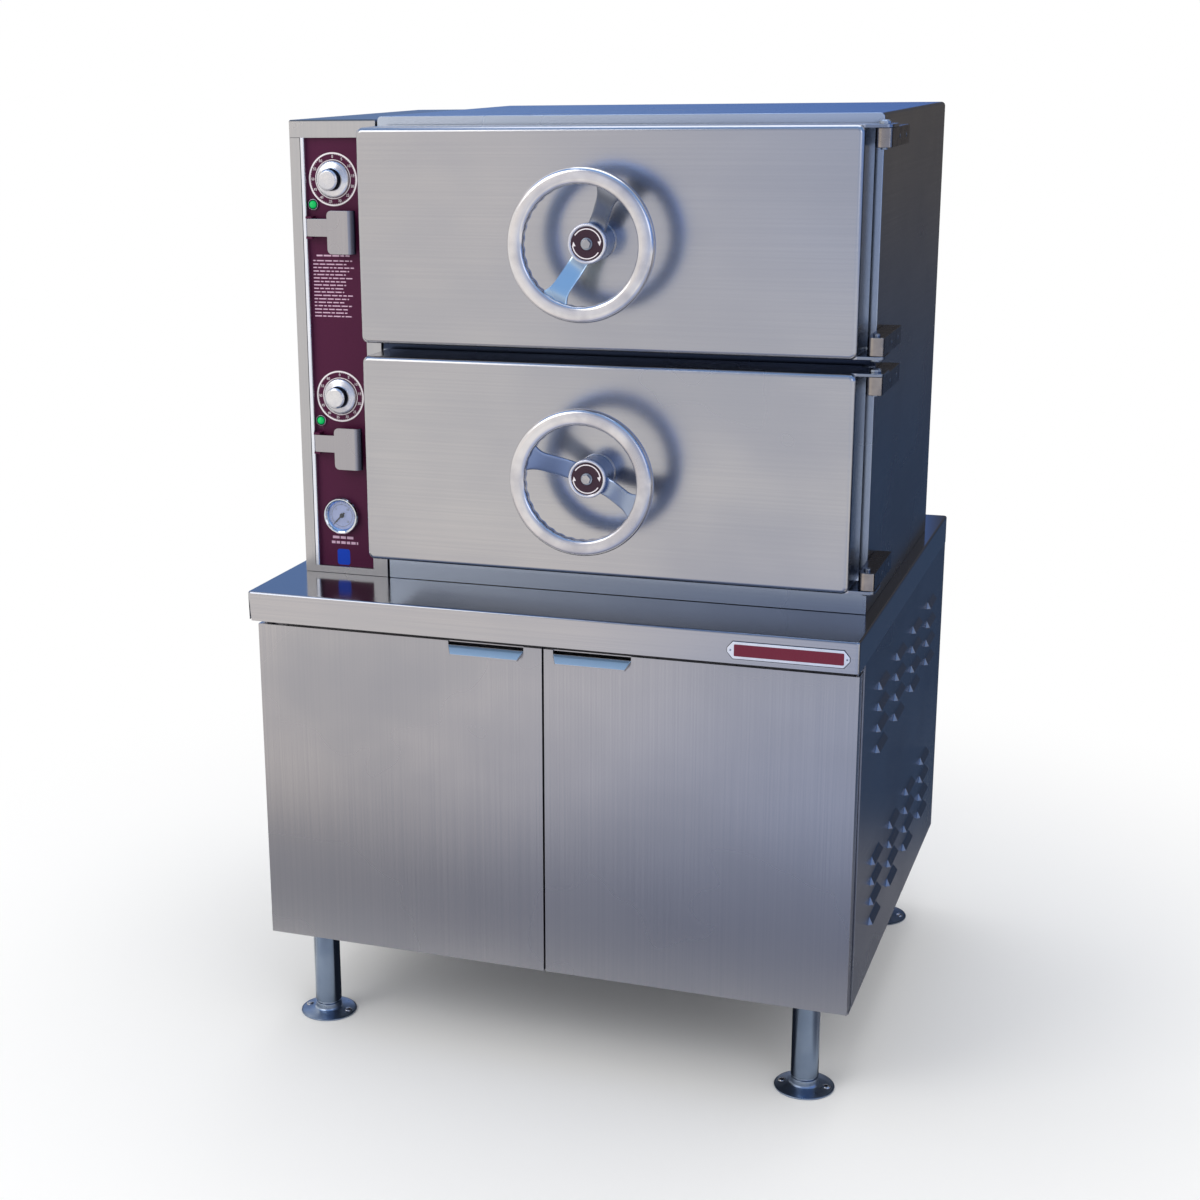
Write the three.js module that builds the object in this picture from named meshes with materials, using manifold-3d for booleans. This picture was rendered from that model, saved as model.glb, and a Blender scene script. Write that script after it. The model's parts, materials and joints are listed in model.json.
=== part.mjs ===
// A two-compartment pressure steamer on a cabinet base, in millimetres, +Z up, front towards -Y.
// Inside the build, y is measured back from the counter's front edge and z up from the floor.
import * as THREE from "three";
import { ConvexGeometry } from "three/addons/geometries/ConvexGeometry.js";
import { mergeVertices } from "three/addons/utils/BufferGeometryUtils.js";
import Module from "manifold-3d";

const wasm = await Module();
wasm.setup();

// Clearances and cutting
const seatGap = 0.3;
const cutOver = 1;
const pipeClearance = 0.6;
const arcSteps = 2;
const pipeSides = 10;
const rodSides = 16;
const dishSides = 24;
const rimSides = 12;
const rimSteps = 32;
const bendSteps = 4;
const domeSteps = 3;
const lampSteps = 4;
const spokeSteps = 4;
const rollShares = [0, 0.38, 0.75, 1];

// Counter top
const counterWidth = 914.4;
const counterDepth = 812.8;
const counterHeight = 711.2;
const counterEdge = 44.45;
const counterSheet = 2;
const counterHem = 14;
const counterBend = 3;

// Legs and feet
const legHeight = 152.4;
const legTube = 41.3;
const legWall = 2.6;
const legInsetX = 71.2;
const legInsetY = 80;
const legPlateWidth = 100;
const legPlateDepth = 54;
const legPlateThickness = 4;
const footShowing = 17;
const footStemClearance = 0.5;
const footStemLength = 70;
const footFlange = 88.9;
const footFlangeThickness = 4;
const footHole = 10;
const footHoleSpacing = 66;

// Cabinet
const sidePanelInset = 1;
const panelSheet = 1.6;
const panelHem = 16;
const cabinetFrontSetBack = 53;
const cabinetBackInset = 2;
const floorEdge = 20;
const frameDepth = 15;
const frameStile = 28;
const frameTopRail = 30;
const frameBottomRail = 24;
const drainHoleHeight = 110;

// Louvres
const louvreColumns = 4;
const louvreRows = 4;
const louvrePitchY = 152.4;
const louvrePitchZ = 31.75;
const louvreFirstY = 163;
const louvreDropShares = [0.1265, 0.6489];
const louvreLength = 80;
const louvreHeight = 11;
const louvreReach = 6.8;
const louvreTopTaper = 10;
const louvreLipTaper = 5;

// Cabinet doors
const cabinetDoorThickness = 24;
const cabinetDoorStandOff = 3.2;
const cabinetDoorMiddleGap = 3;
const cabinetDoorSideInset = 3.7;
const cabinetDoorTopGap = 11.65;
const cabinetDoorDrop = 1.9;
const cabinetDoorHem = 20;
const cabinetPivotInset = 6;
const cabinetPivotPin = 5;
const cabinetPivotReach = 8;
const pivotBracketWidth = 16;
const pivotBracketThickness = 3;
const tabRoot = 116;
const tabTip = 103;
const tabReach = 11;
const tabDrop = 11;
const tabSheet = 2;
const tabNotchDepth = 6;
const leftTabFromMiddle = 87.3;
const rightTabFromMiddle = 73.7;

// Body and its place on the counter
const bodySetIn = 18.7;
const counterLedge = 141;
const bodyDepth = 549;
const bodySheet = 2;
const bodyBend = 6;
const bodyHem = 15;
const bodyBackHem = 7;
const bodyCrown = 12.2;
const bodyLeftMargin = 4.1;
const bodyRightMargin = 9.5;

// Compartment doors
const doorWidth = 709.3;
const doorHeight = 300;
const doorDepth = 80;
const doorSheet = 2;
const doorEdgeRadius = 7;
const doorCornerRadius = 2.5;
const doorSill = 50.8;
const doorGap = 18.4;
const doorStandOff = 11;
const doorBushing = 52;
const doorBushingReach = 4;
const spindleBoss = 46;

// Door hinges
const hingeOffsetX = 20.5;
const hingeOffsetY = 30;
const earThickness = 4;
const earRoot = 16;
const earBeyond = 13.5;
const earFrontReach = 20;
const earBackReach = 38;
const earRounding = 10;
const hingePin = 9.5;
const hingePinHead = 16;
const hingePinHeadHeight = 5;
const hingePinTail = 3;
const blockHeight = 24.5;
const blockWidth = 23.2;
const blockFrontReach = 18;
const blockBackReach = 120;
const blockInnerRounding = 10;
const blockOuterRounding = 5;
const blockEarGap = 0.4;

// Wheels
const wheelDiameter = 203.2;
const wheelRimWidth = 26.6;
const wheelRimDepth = 19;
const wheelRimReach = 75;
const wheelHubReach = 50;
const wheelHub = 44;
const wheelHubPlate = 54;
const wheelHubPlateThickness = 4;
const spokeThickness = 6;
const spokeHubWidth = 24;
const spokeRimWidth = 34;
const spokeHubSetBack = 7;
const spokeNeckShare = 0.62;
const spokeFlareShare = 0.86;
const upperWheelTurn = 62;
const lowerWheelTurn = -22;

// Spindle with its scroll cam, and the latch bolts
const spindle = 20;
const spindleInHub = 33;
const camSetBack = 48;
const camThickness = 7;
const camRadius = 57;
const scrollStart = 22;
const scrollThrow = 25;
const scrollTurn = 270;
const scrollSteps = 15;
const boltPin = 8;
const boltPinShort = 1;
const boltGap = 2;
const boltThickness = 8;
const boltHeight = 30;
const boltInnerEnd = 7;
const boltInsetLeft = 54.65;
const boltInsetRight = 80.65;
const guideLength = 20;
const guideBorder = 8;
const guideFromTip = 49;
const guideBack = 3.5;

// Strikes on the body's front frame
const strikeGap = 2;
const strikeLip = 7;
const strikeFree = 8;
const strikeStop = 0.5;
const strikePost = 6;
const strikeHeight = 40;

// Liner and gasket
const linerGap = 3;
const linerSheet = 3;
const linerMargin = 2;
const linerBoss = 44;
const linerBossBack = 16;
const linerBossFloor = 3;
const linerPanelInset = 46;
const linerPanelRise = 8;
const linerPanelTaper = 8;
const linerTravelLeft = 0.5;
const spindleInLiner = 15;
const gasketThickness = 6;
const gasketWidth = 12;
const linerTravel = 5.5;

// Compartments
const mouthMarginX = 99.65;
const mouthMarginZ = 37;
const mouthRadius = 28;
const compartmentWall = 3;
const compartmentDepth = 510;
const mouthFlange = 15;
const ledgeWidth = 12;
const ledgeThickness = 3;
const ledgeLength = 460;
const ledgeSetBack = 30;
const ledgeHeightShares = [-0.22, 0.16];
const jacketInset = 5;
const jacketFront = 14;
const jacketBack = 16;
const jacketClearance = 0.5;

// Control column
const columnWidth = 137;
const columnDepth = 496;
const columnGap = 4;
const columnSetBack = 1;
const columnDrop = 4.1;
const columnSheet = 1.6;
const columnBend = 3;
const windowWidth = 91;
const windowLeftStrip = 22.4;
const windowSill = 10.8;
const windowHead = 25.5;
const windowRecess = 7;

// Control panel
const panelThickness = 1.5;
const panelMargin = 8;
const dialOffsetX = -3.5;
const gaugeOffsetX = -6.2;
const upperDialHeight = 592.6;
const lowerDialHeight = 273.5;
const upperLampHeight = 556.4;
const lowerLampHeight = 236;
const lampInset = 10;
const upperLeverHeight = 523.8;
const lowerLeverHeight = 202.8;
const gaugeHeight = 90.5;

// Timers and knobs
const timerWidth = 58;
const timerDepth = 44;
const timerHeight = 56;
const timerCollar = 10;
const knobShaft = 6;
const knobShaftIn = 18;
const knobSkirt = 60;
const knobSkirtThickness = 3.5;
const knobSkirtCone = 3;
const knobGrip = 31;
const knobGripTaper = 1.5;
const knobReach = 21;
const knobFacePad = 1.2;
const knobPointerWidth = 3;
const knobPointerProud = 1;

// Pilot lights
const lampLens = 13;
const lampBezel = 16;
const lampBezelThickness = 2;
const lampReach = 7;
const lampBarrel = 11;
const lampDepth = 26;

// Steam levers
const leverBarHeight = 25.7;
const leverBarThickness = 4;
const leverPivotInset = 7;
const leverPivotPin = 4;
const leverBarrel = 9.5;
const leverStandOff = 10;
const leverLug = 3;
const leverBarLength = 34.3;
const paddleWidth = 42.4;
const paddleHeight = 63;
const paddleDrop = 6.5;
const paddleSheet = 3;
const paddleCurl = 9;
const paddleLap = 4;
const paddleRounding = 7;

// Pressure gauge
const gaugeBezel = 57;
const gaugeBezelWidth = 4.5;
const gaugeBezelReach = 9;
const gaugeTube = 49;
const gaugeDepth = 24;
const gaugeFaceSetBack = 6;
const gaugeGlass = 1.6;
const gaugeGlassSetBack = 2;
const gaugeShelf = 1.4;
const needlePin = 3;
const needlePinIn = 2.4;
const needleHub = 7;
const needleWidth = 2.4;
const needleTipWidth = 0.8;
const needleThickness = 1;
const needleLengthShare = 0.8;
const needleTailShare = 0.25;
const needleAir = 1;
const needleTurn = 225;

// Steam generator, pipes and relief valve
const tankHeightShare = 0.5836;
const tankLength = 560;
const tankHead = 42;
const tankLift = 46;
const tankSetBack = 440;
const saddleWidth = 40;
const saddleSpan = 220;
const saddleSpacing = 340;
const nozzle = 42;
const nozzleReach = 24;
const manwayDiameter = 150;
const manwayReach = 22;
const manwayFlange = 178;
const manwayFlangeThickness = 12;
const riserPipe = 26;
const riserStub = 20;
const riserBend = 40;
const riserFromBack = 22;
const riserRise = 50;
const drainPipe = 20;
const drainStub = 16;
const drainOffset = 130;
const drainLift = 18;
const counterHole = 36;
const valveOffset = 150;
const valveBody = 34;
const valveHeight = 72;
const valveStem = 12;
const valveStemHeight = 14;
const valveWaistShare = 0.7;
const valveStepShares = [0.25, 0.33, 0.5, 0.6, 0.9];

// Places worked out from the sizes above
const halfCounter = counterWidth / 2;
const bodyWidth = bodyLeftMargin + doorWidth + bodyRightMargin;
const bodyRight = halfCounter - bodySetIn;
const bodyLeft = bodyRight - bodyWidth;
const bodyFront = counterLedge;
const bodyBack = bodyFront + bodyDepth;
const bodyBottom = counterHeight;
const doorLeft = bodyLeft + bodyLeftMargin;
const doorCentreX = doorLeft + doorWidth / 2;
const doorFront = bodyFront - doorStandOff - doorDepth;
const lowerDoorZ = counterHeight + doorSill + doorHeight / 2;
const upperDoorZ = lowerDoorZ + doorHeight + doorGap;
const bodyTop = upperDoorZ + doorHeight / 2 + bodyCrown;
const cabinetFront = cabinetFrontSetBack;
const cabinetBack = counterDepth - cabinetBackInset;
const cabinetTop = counterHeight - counterEdge - seatGap;
const sideOuter = halfCounter - sidePanelInset;
const sideInner = sideOuter - panelSheet - seatGap;
const frontFrameY = cabinetFront + panelSheet + seatGap;
const cabinetDoorBack = cabinetFront - cabinetDoorStandOff;
const cabinetDoorFront = cabinetDoorBack - cabinetDoorThickness;
const cabinetDoorTop = counterHeight - counterEdge - cabinetDoorTopGap;
const cabinetDoorBottom = legHeight - cabinetDoorDrop;
const cabinetDoorOuter = halfCounter - cabinetDoorSideInset;
const riserY = bodyBack - riserFromBack;
const tankDiameter = tankHeightShare * (cabinetTop - legHeight);

// Sizes that follow the compartment doors
const mouthWidth = doorWidth - 2 * mouthMarginX;
const mouthHeight = doorHeight - 2 * mouthMarginZ;
const boltReachLeft = doorWidth / 2 - boltInsetLeft;
const boltReachRight = doorWidth / 2 - boltInsetRight;

// Distances back from a compartment door's front face
const boltFront = camSetBack + camThickness + boltGap;
const boltBack = boltFront + boltThickness;
const linerBossFront = boltBack + linerGap;
const linerFront = linerBossFront + linerGap;
const linerBack = linerFront + linerSheet;
const gasketBack = linerBack + gasketThickness;
const mouthFace = gasketBack + linerTravel + linerTravelLeft;
const strikeLipFront = boltFront - strikeGap - strikeLip;
const frameFace = doorDepth + doorStandOff;

// Finishes
const stainless = new THREE.MeshStandardMaterial({ color: 0xb5b2af, metalness: 0.9, roughness: 0.38 });
const brightStainless = new THREE.MeshStandardMaterial({ color: 0xc4c4c6, metalness: 0.95, roughness: 0.25 });
const wheelMetal = new THREE.MeshStandardMaterial({ color: 0xcfcfd2, metalness: 0.9, roughness: 0.3 });
const chrome = new THREE.MeshStandardMaterial({ color: 0xd5d6d8, metalness: 1, roughness: 0.12 });
const steel = new THREE.MeshStandardMaterial({ color: 0x8d8f92, metalness: 0.85, roughness: 0.45 });
const panelPaint = new THREE.MeshStandardMaterial({ color: 0x4f2440, metalness: 0.1, roughness: 0.5 });
const blackPlastic = new THREE.MeshStandardMaterial({ color: 0x1d1c1e, metalness: 0, roughness: 0.55 });
const greenLens = new THREE.MeshStandardMaterial({ color: 0x18c964, metalness: 0, roughness: 0.2 });
const rubber = new THREE.MeshStandardMaterial({ color: 0x2b2a2b, metalness: 0, roughness: 0.8 });
const glass = new THREE.MeshStandardMaterial({ color: 0xdfe8ee, metalness: 0, roughness: 0.05 });
const brass = new THREE.MeshStandardMaterial({ color: 0xb08d4a, metalness: 0.9, roughness: 0.35 });
const wool = new THREE.MeshStandardMaterial({ color: 0xc9b98a, metalness: 0, roughness: 0.95 });
const greyPaint = new THREE.MeshStandardMaterial({ color: 0x6f7478, metalness: 0.2, roughness: 0.6 });

// A closed three.js geometry as a solid that can be joined and cut
function solid(geometry) {
  const bare = new THREE.BufferGeometry();
  bare.setAttribute("position", geometry.getAttribute("position"));
  bare.setIndex(geometry.index);
  const merged = mergeVertices(bare, 1e-4);
  const vertProperties = merged.attributes.position.array;
  const triVerts = new Uint32Array(merged.index.array);
  const made = new wasm.Manifold(new wasm.Mesh({ numProp: 3, vertProperties, triVerts }));
  if (made.volume() > 0) return made;
  triVerts.reverse();
  return new wasm.Manifold(new wasm.Mesh({ numProp: 3, vertProperties, triVerts }));
}

// Joins a list of solids into one
function join(solids) {
  return solids.reduce((whole, piece) => whole.add(piece));
}

// A solid as a named mesh with its finish
function piece(name, made, material) {
  const data = made.getMesh();
  const geometry = new THREE.BufferGeometry();
  geometry.setAttribute("position", new THREE.BufferAttribute(data.vertProperties, 3));
  geometry.setIndex(new THREE.BufferAttribute(data.triVerts, 1));
  geometry.computeVertexNormals();
  const mesh = new THREE.Mesh(geometry, material);
  mesh.name = name;
  return mesh;
}

// A box between two opposite corners
function block(x0, x1, y0, y1, z0, z1) {
  const box = new THREE.BoxGeometry(x1 - x0, y1 - y0, z1 - z0);
  box.translate((x0 + x1) / 2, (y0 + y1) / 2, (z0 + z1) / 2);
  return solid(box);
}

// The turn that lays a flat outline square to an axis: outlines are (y, z), (x, z) or (x, y)
function layAcross(axis) {
  const turn = new THREE.Matrix4();
  const x = new THREE.Vector3(1, 0, 0);
  const y = new THREE.Vector3(0, 1, 0);
  const z = new THREE.Vector3(0, 0, 1);
  if (axis === "x") turn.makeBasis(y, z, x);
  if (axis === "y") turn.makeBasis(x, z, y.clone().negate());
  return turn;
}

// A flat outline drawn out along an axis, from one place to another
function plate(outline, axis, from, to) {
  const flat = new THREE.ExtrudeGeometry(outline, {
    depth: to - from,
    bevelEnabled: false,
    curveSegments: arcSteps,
  });
  flat.applyMatrix4(layAcross(axis));
  if (axis === "x") flat.translate(from, 0, 0);
  if (axis === "y") flat.translate(0, to, 0);
  if (axis === "z") flat.translate(0, 0, from);
  return solid(flat);
}

// An outline through a list of corners
function polygon(corners) {
  return new THREE.Shape(corners.map(([u, v]) => new THREE.Vector2(u, v)));
}

// A rectangle with its own radius at each corner: lower left, lower right, upper right, upper left
function roundedRectangle(u0, u1, v0, v1, radii) {
  const [a, b, c, d] = radii;
  const outline = new THREE.Shape();
  const quarter = Math.PI / 2;
  outline.moveTo(u0 + a, v0);
  outline.lineTo(u1 - b, v0);
  if (b > 0) outline.absarc(u1 - b, v0 + b, b, -quarter, 0, false);
  outline.lineTo(u1, v1 - c);
  if (c > 0) outline.absarc(u1 - c, v1 - c, c, 0, quarter, false);
  outline.lineTo(u0 + d, v1);
  if (d > 0) outline.absarc(u0 + d, v1 - d, d, quarter, 2 * quarter, false);
  outline.lineTo(u0, v0 + a);
  if (a > 0) outline.absarc(u0 + a, v0 + a, a, 2 * quarter, 3 * quarter, false);
  return outline;
}

// The same radius at all four corners, round a centre
function evenRectangle(u, v, width, height, radius) {
  const radii = [radius, radius, radius, radius];
  return roundedRectangle(u - width / 2, u + width / 2, v - height / 2, v + height / 2, radii);
}

// A profile of (radius, distance) turned about an axis through a point
function turned(profile, axis, at, sides) {
  const points = profile.map(([radius, along]) => new THREE.Vector2(radius, along));
  const shape = new THREE.LatheGeometry(points, sides);
  if (axis === "z") shape.rotateX(Math.PI / 2);
  if (axis === "x") shape.rotateZ(-Math.PI / 2);
  shape.translate(at.x, at.y, at.z);
  return solid(shape);
}

// A round bar along an axis, from one distance to another
function rod(diameter, axis, at, from, to, sides = rodSides) {
  const radius = diameter / 2;
  return turned([[0, from], [radius, from], [radius, to], [0, to]], axis, at, sides);
}

// Outlines of one point count, stacked along an axis and closed by flat ends
function stacked(outlines, axis) {
  const rings = outlines.map(({ outline, at }) => {
    const turn = layAcross(axis);
    const points = outline.getPoints(arcSteps);
    const first = points[0];
    const last = points[points.length - 1];
    if (first.distanceTo(last) < 1e-6) points.pop();
    const height = axis === "y" ? -at : at;
    return points.map((p) => new THREE.Vector3(p.x, p.y, height).applyMatrix4(turn));
  });
  return skin(rings);
}

// Rings of one point count joined into a closed skin with flat ends
function skin(rings) {
  const count = rings[0].length;
  const places = rings.flat();
  const index = [];
  for (let r = 0; r + 1 < rings.length; r += 1) {
    for (let i = 0; i < count; i += 1) {
      const next = (i + 1) % count;
      const a = r * count + i;
      const b = r * count + next;
      index.push(a, b, b + count, a, b + count, a + count);
    }
  }
  const top = (rings.length - 1) * count;
  for (let i = 1; i + 1 < count; i += 1) {
    index.push(0, i + 1, i);
    index.push(top, top + i, top + i + 1);
  }
  const geometry = new THREE.BufferGeometry().setFromPoints(places);
  geometry.setIndex(index);
  return solid(geometry);
}

// A block whose front edge, or top edge, is rolled over by a radius
function rolledBlock(u, v, width, height, corner, roll, axis, rolled, flat) {
  const inward = rolled < flat ? 1 : -1;
  const rings = rollShares.map((share) => {
    const angle = (share * Math.PI) / 2;
    const inset = roll * (1 - Math.sin(angle));
    const radius = corner + roll - inset;
    const outline = evenRectangle(u, v, width - 2 * inset, height - 2 * inset, radius);
    return { outline, at: rolled + inward * roll * (1 - Math.cos(angle)) };
  });
  rings.push({ outline: evenRectangle(u, v, width, height, corner + roll), at: flat });
  return stacked(rings, axis);
}

// A round pipe along points in an upright plane that runs from front to back
function pipe(points, diameter) {
  const across = new THREE.Vector3(1, 0, 0);
  const last = points.length - 1;
  const rings = points.map((point, i) => {
    const before = point.clone().sub(points[Math.max(i - 1, 0)]).normalize();
    const after = points[Math.min(i + 1, last)].clone().sub(point).normalize();
    const up = before.add(after).cross(across).normalize();
    const ring = [];
    for (let s = 0; s < pipeSides; s += 1) {
      const angle = (s / pipeSides) * 2 * Math.PI;
      const reach = diameter / 2;
      const at = point.clone().addScaledVector(across, Math.cos(angle) * reach);
      ring.push(at.addScaledVector(up, Math.sin(angle) * reach));
    }
    return ring;
  });
  return skin(rings);
}

// Points along a path whose corners are rounded by a bend radius
function bentPath(corners, bend) {
  const places = corners.map(([x, y, z]) => new THREE.Vector3(x, y, z));
  const points = [places[0]];
  for (let i = 1; i + 1 < places.length; i += 1) {
    const into = places[i].clone().sub(places[i - 1]).normalize();
    const out = places[i + 1].clone().sub(places[i]).normalize();
    const start = places[i].clone().addScaledVector(into, -bend);
    const end = places[i].clone().addScaledVector(out, bend);
    points.push(...new THREE.QuadraticBezierCurve3(start, places[i], end).getPoints(bendSteps));
  }
  points.push(places[places.length - 1]);
  return points;
}

// Counter: an inverted pan with a rolled top edge, a hem below and two pipe holes
function counterTop() {
  const bottom = counterHeight - counterEdge;
  const midY = counterDepth / 2;
  const outer = rolledBlock(
    0, midY, counterWidth, counterDepth, counterBend, counterBend, "z", counterHeight, bottom,
  );
  const wall = 2 * counterSheet;
  const inner = evenRectangle(0, midY, counterWidth - wall, counterDepth - wall, counterBend);
  const cavity = plate(inner, "z", bottom + counterSheet, counterHeight - counterSheet);
  const lip = 2 * counterHem;
  const mouth = evenRectangle(0, midY, counterWidth - lip, counterDepth - lip, counterBend);
  const opening = plate(mouth, "z", bottom - cutOver, bottom + counterSheet + cutOver);
  const below = counterHeight - counterSheet - cutOver;
  const above = counterHeight + cutOver;
  const riserAt = new THREE.Vector3(doorCentreX, riserY, 0);
  const drainAt = new THREE.Vector3(doorCentreX - drainOffset, riserY, 0);
  return outer
    .subtract(cavity)
    .subtract(opening)
    .subtract(rod(counterHole, "z", riserAt, below, above))
    .subtract(rod(counterHole, "z", drainAt, below, above));
}

// Leg: a tube with a mounting plate on top
function leg() {
  const top = legHeight - seatGap;
  const underPlate = top - legPlateThickness;
  const at = new THREE.Vector3();
  const tubeFoot = footFlangeThickness + footShowing;
  const tube = rod(legTube, "z", at, tubeFoot, underPlate + cutOver);
  const bore = rod(legTube - 2 * legWall, "z", at, tubeFoot - cutOver, underPlate);
  const plateOutline = evenRectangle(0, 0, legPlateWidth, legPlateDepth, legPlateThickness);
  const topPlate = plate(plateOutline, "z", underPlate, top);
  return tube.subtract(bore).add(topPlate);
}

// Foot: a stem that screws up the leg, on a flange with two bolt holes
function foot() {
  const at = new THREE.Vector3();
  const stem = legTube - 2 * legWall - 2 * footStemClearance;
  const made = rod(footFlange, "z", at, 0, footFlangeThickness, dishSides)
    .add(rod(stem, "z", at, footFlangeThickness / 2, footStemLength));
  const holes = [-1, 1].map((side) => {
    const place = new THREE.Vector3((side * footHoleSpacing) / 2, 0, 0);
    return rod(footHole, "z", place, -cutOver, footFlangeThickness + cutOver, pipeSides);
  });
  return made.subtract(join(holes));
}

// One louvre's wedge: a sloping hood with tapered ends, open along its lower edge
function louvreWedge(side, y, z, reach, height, length, base) {
  const half = length / 2;
  const top = z + height / 2;
  const low = z - height / 2;
  const lip = side * (base + reach);
  const back = side * base;
  const corners = [
    new THREE.Vector3(back, y - half + louvreTopTaper, top),
    new THREE.Vector3(back, y + half - louvreTopTaper, top),
    new THREE.Vector3(back, y - half, low),
    new THREE.Vector3(back, y + half, low),
    new THREE.Vector3(lip, y - half + louvreLipTaper, low),
    new THREE.Vector3(lip, y + half - louvreLipTaper, low),
  ];
  return solid(new ConvexGeometry(corners));
}

// The underside of the brackets above the cabinet doors
function upperBracketZ() {
  return (cabinetDoorTop + cabinetTop) / 2 - pivotBracketThickness / 2;
}

// Cabinet side: a sheet with notched hems front and back and two banks of pressed louvres
function cabinetSide(side) {
  const out = side * sideOuter;
  const face = side * (sideOuter - panelSheet);
  const hem = side * (sideOuter - panelHem);
  const outline = polygon([
    [out, cabinetFront],
    [out, cabinetBack],
    [hem, cabinetBack],
    [hem, cabinetBack - panelSheet],
    [face, cabinetBack - panelSheet],
    [face, cabinetFront + panelSheet],
    [hem, cabinetFront + panelSheet],
    [hem, cabinetFront],
  ]);
  let panel = plate(outline, "z", legHeight, cabinetTop);
  const hoods = [];
  const hollows = [];
  for (const share of louvreDropShares) {
    const drop = share * (cabinetTop - legHeight);
    for (let column = 0; column < louvreColumns; column += 1) {
      for (let row = 0; row < louvreRows; row += 1) {
        const y = louvreFirstY + louvreLength / 2 + column * louvrePitchY;
        const z = cabinetTop - drop - row * louvrePitchZ;
        const inside = sideOuter - panelSheet - cutOver;
        hoods.push(louvreWedge(side, y, z, louvreReach, louvreHeight, louvreLength, sideOuter));
        const reach = louvreReach + cutOver;
        const dip = z - panelSheet;
        const length = louvreLength - 2 * panelSheet;
        hollows.push(louvreWedge(side, y, dip, reach, louvreHeight, length, inside));
      }
    }
  }
  const bracketZ = upperBracketZ();
  const notchIn = hem - side * cutOver;
  const notch = block(
    Math.min(face, notchIn), Math.max(face, notchIn),
    cabinetFront - cutOver, cabinetFront + panelSheet + cutOver,
    bracketZ - seatGap, bracketZ + pivotBracketThickness + seatGap,
  );
  panel = panel.add(join(hoods));
  return panel.subtract(join(hollows)).subtract(notch);
}

// Cabinet back: a flat sheet inside the sides' hems, with a hole for the drain
function cabinetBackPanel() {
  const back = cabinetBack - panelSheet - seatGap;
  const sheet = block(-sideInner, sideInner, back - panelSheet, back, legHeight, cabinetTop);
  const at = new THREE.Vector3(doorCentreX - drainOffset, 0, legHeight + drainHoleHeight);
  const hole = rod(drainPipe + 2 * pipeClearance, "y", at, back - panelSheet - cutOver, back + cutOver);
  return sheet.subtract(hole);
}

// Cabinet floor: a sheet with an upturned edge front and back
function cabinetFloor() {
  const front = frontFrameY + frameDepth + seatGap;
  const back = cabinetBack - 2 * panelSheet - 2 * seatGap;
  const bottom = legHeight;
  const top = legHeight + floorEdge;
  const outline = polygon([
    [front, bottom],
    [back, bottom],
    [back, top],
    [back - panelSheet, top],
    [back - panelSheet, bottom + panelSheet],
    [front + panelSheet, bottom + panelSheet],
    [front + panelSheet, top],
    [front, top],
  ]);
  return plate(outline, "x", -sideInner, sideInner);
}

// The pivot of a cabinet door: its distance out from the middle and back from the counter's edge
function cabinetPivot() {
  return { x: cabinetDoorOuter - cabinetPivotInset, y: cabinetDoorBack - cabinetPivotInset };
}

// Cabinet front frame: stiles and rails, with a bracket and pin above and below each door's pivot
function cabinetFrontFrame() {
  const back = frontFrameY + frameDepth;
  const outer = block(-sideInner, sideInner, frontFrameY, back, legHeight, cabinetTop);
  const mouth = block(
    -sideInner + frameStile,
    sideInner - frameStile,
    frontFrameY - cutOver,
    back + cutOver,
    legHeight + frameBottomRail,
    cabinetTop - frameTopRail,
  );
  const parts = [outer.subtract(mouth)];
  const pivot = cabinetPivot();
  const front = pivot.y - pivotBracketWidth / 2;
  const upper = upperBracketZ();
  const lower = cabinetDoorBottom - seatGap - pivotBracketThickness;
  const pinAt = new THREE.Vector3(0, pivot.y, 0);
  for (const side of [-1, 1]) {
    const x0 = side * pivot.x - pivotBracketWidth / 2;
    const x1 = Math.min(side * pivot.x + pivotBracketWidth / 2, sideInner);
    const left = Math.max(x0, -sideInner);
    parts.push(block(left, x1, front, back, upper, upper + pivotBracketThickness));
    parts.push(block(left, x1, front, back, lower, lower + pivotBracketThickness));
    parts.push(block(left, x1, frontFrameY, back, lower, legHeight + frameBottomRail / 2));
    pinAt.x = side * pivot.x;
    const topPinEnd = cabinetDoorTop - cabinetPivotReach;
    const lowPinEnd = cabinetDoorBottom + cabinetPivotReach;
    parts.push(rod(cabinetPivotPin, "z", pinAt, topPinEnd, upper + cutOver, pipeSides));
    parts.push(rod(cabinetPivotPin, "z", pinAt, lower + cutOver, lowPinEnd, pipeSides));
  }
  return join(parts);
}

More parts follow.
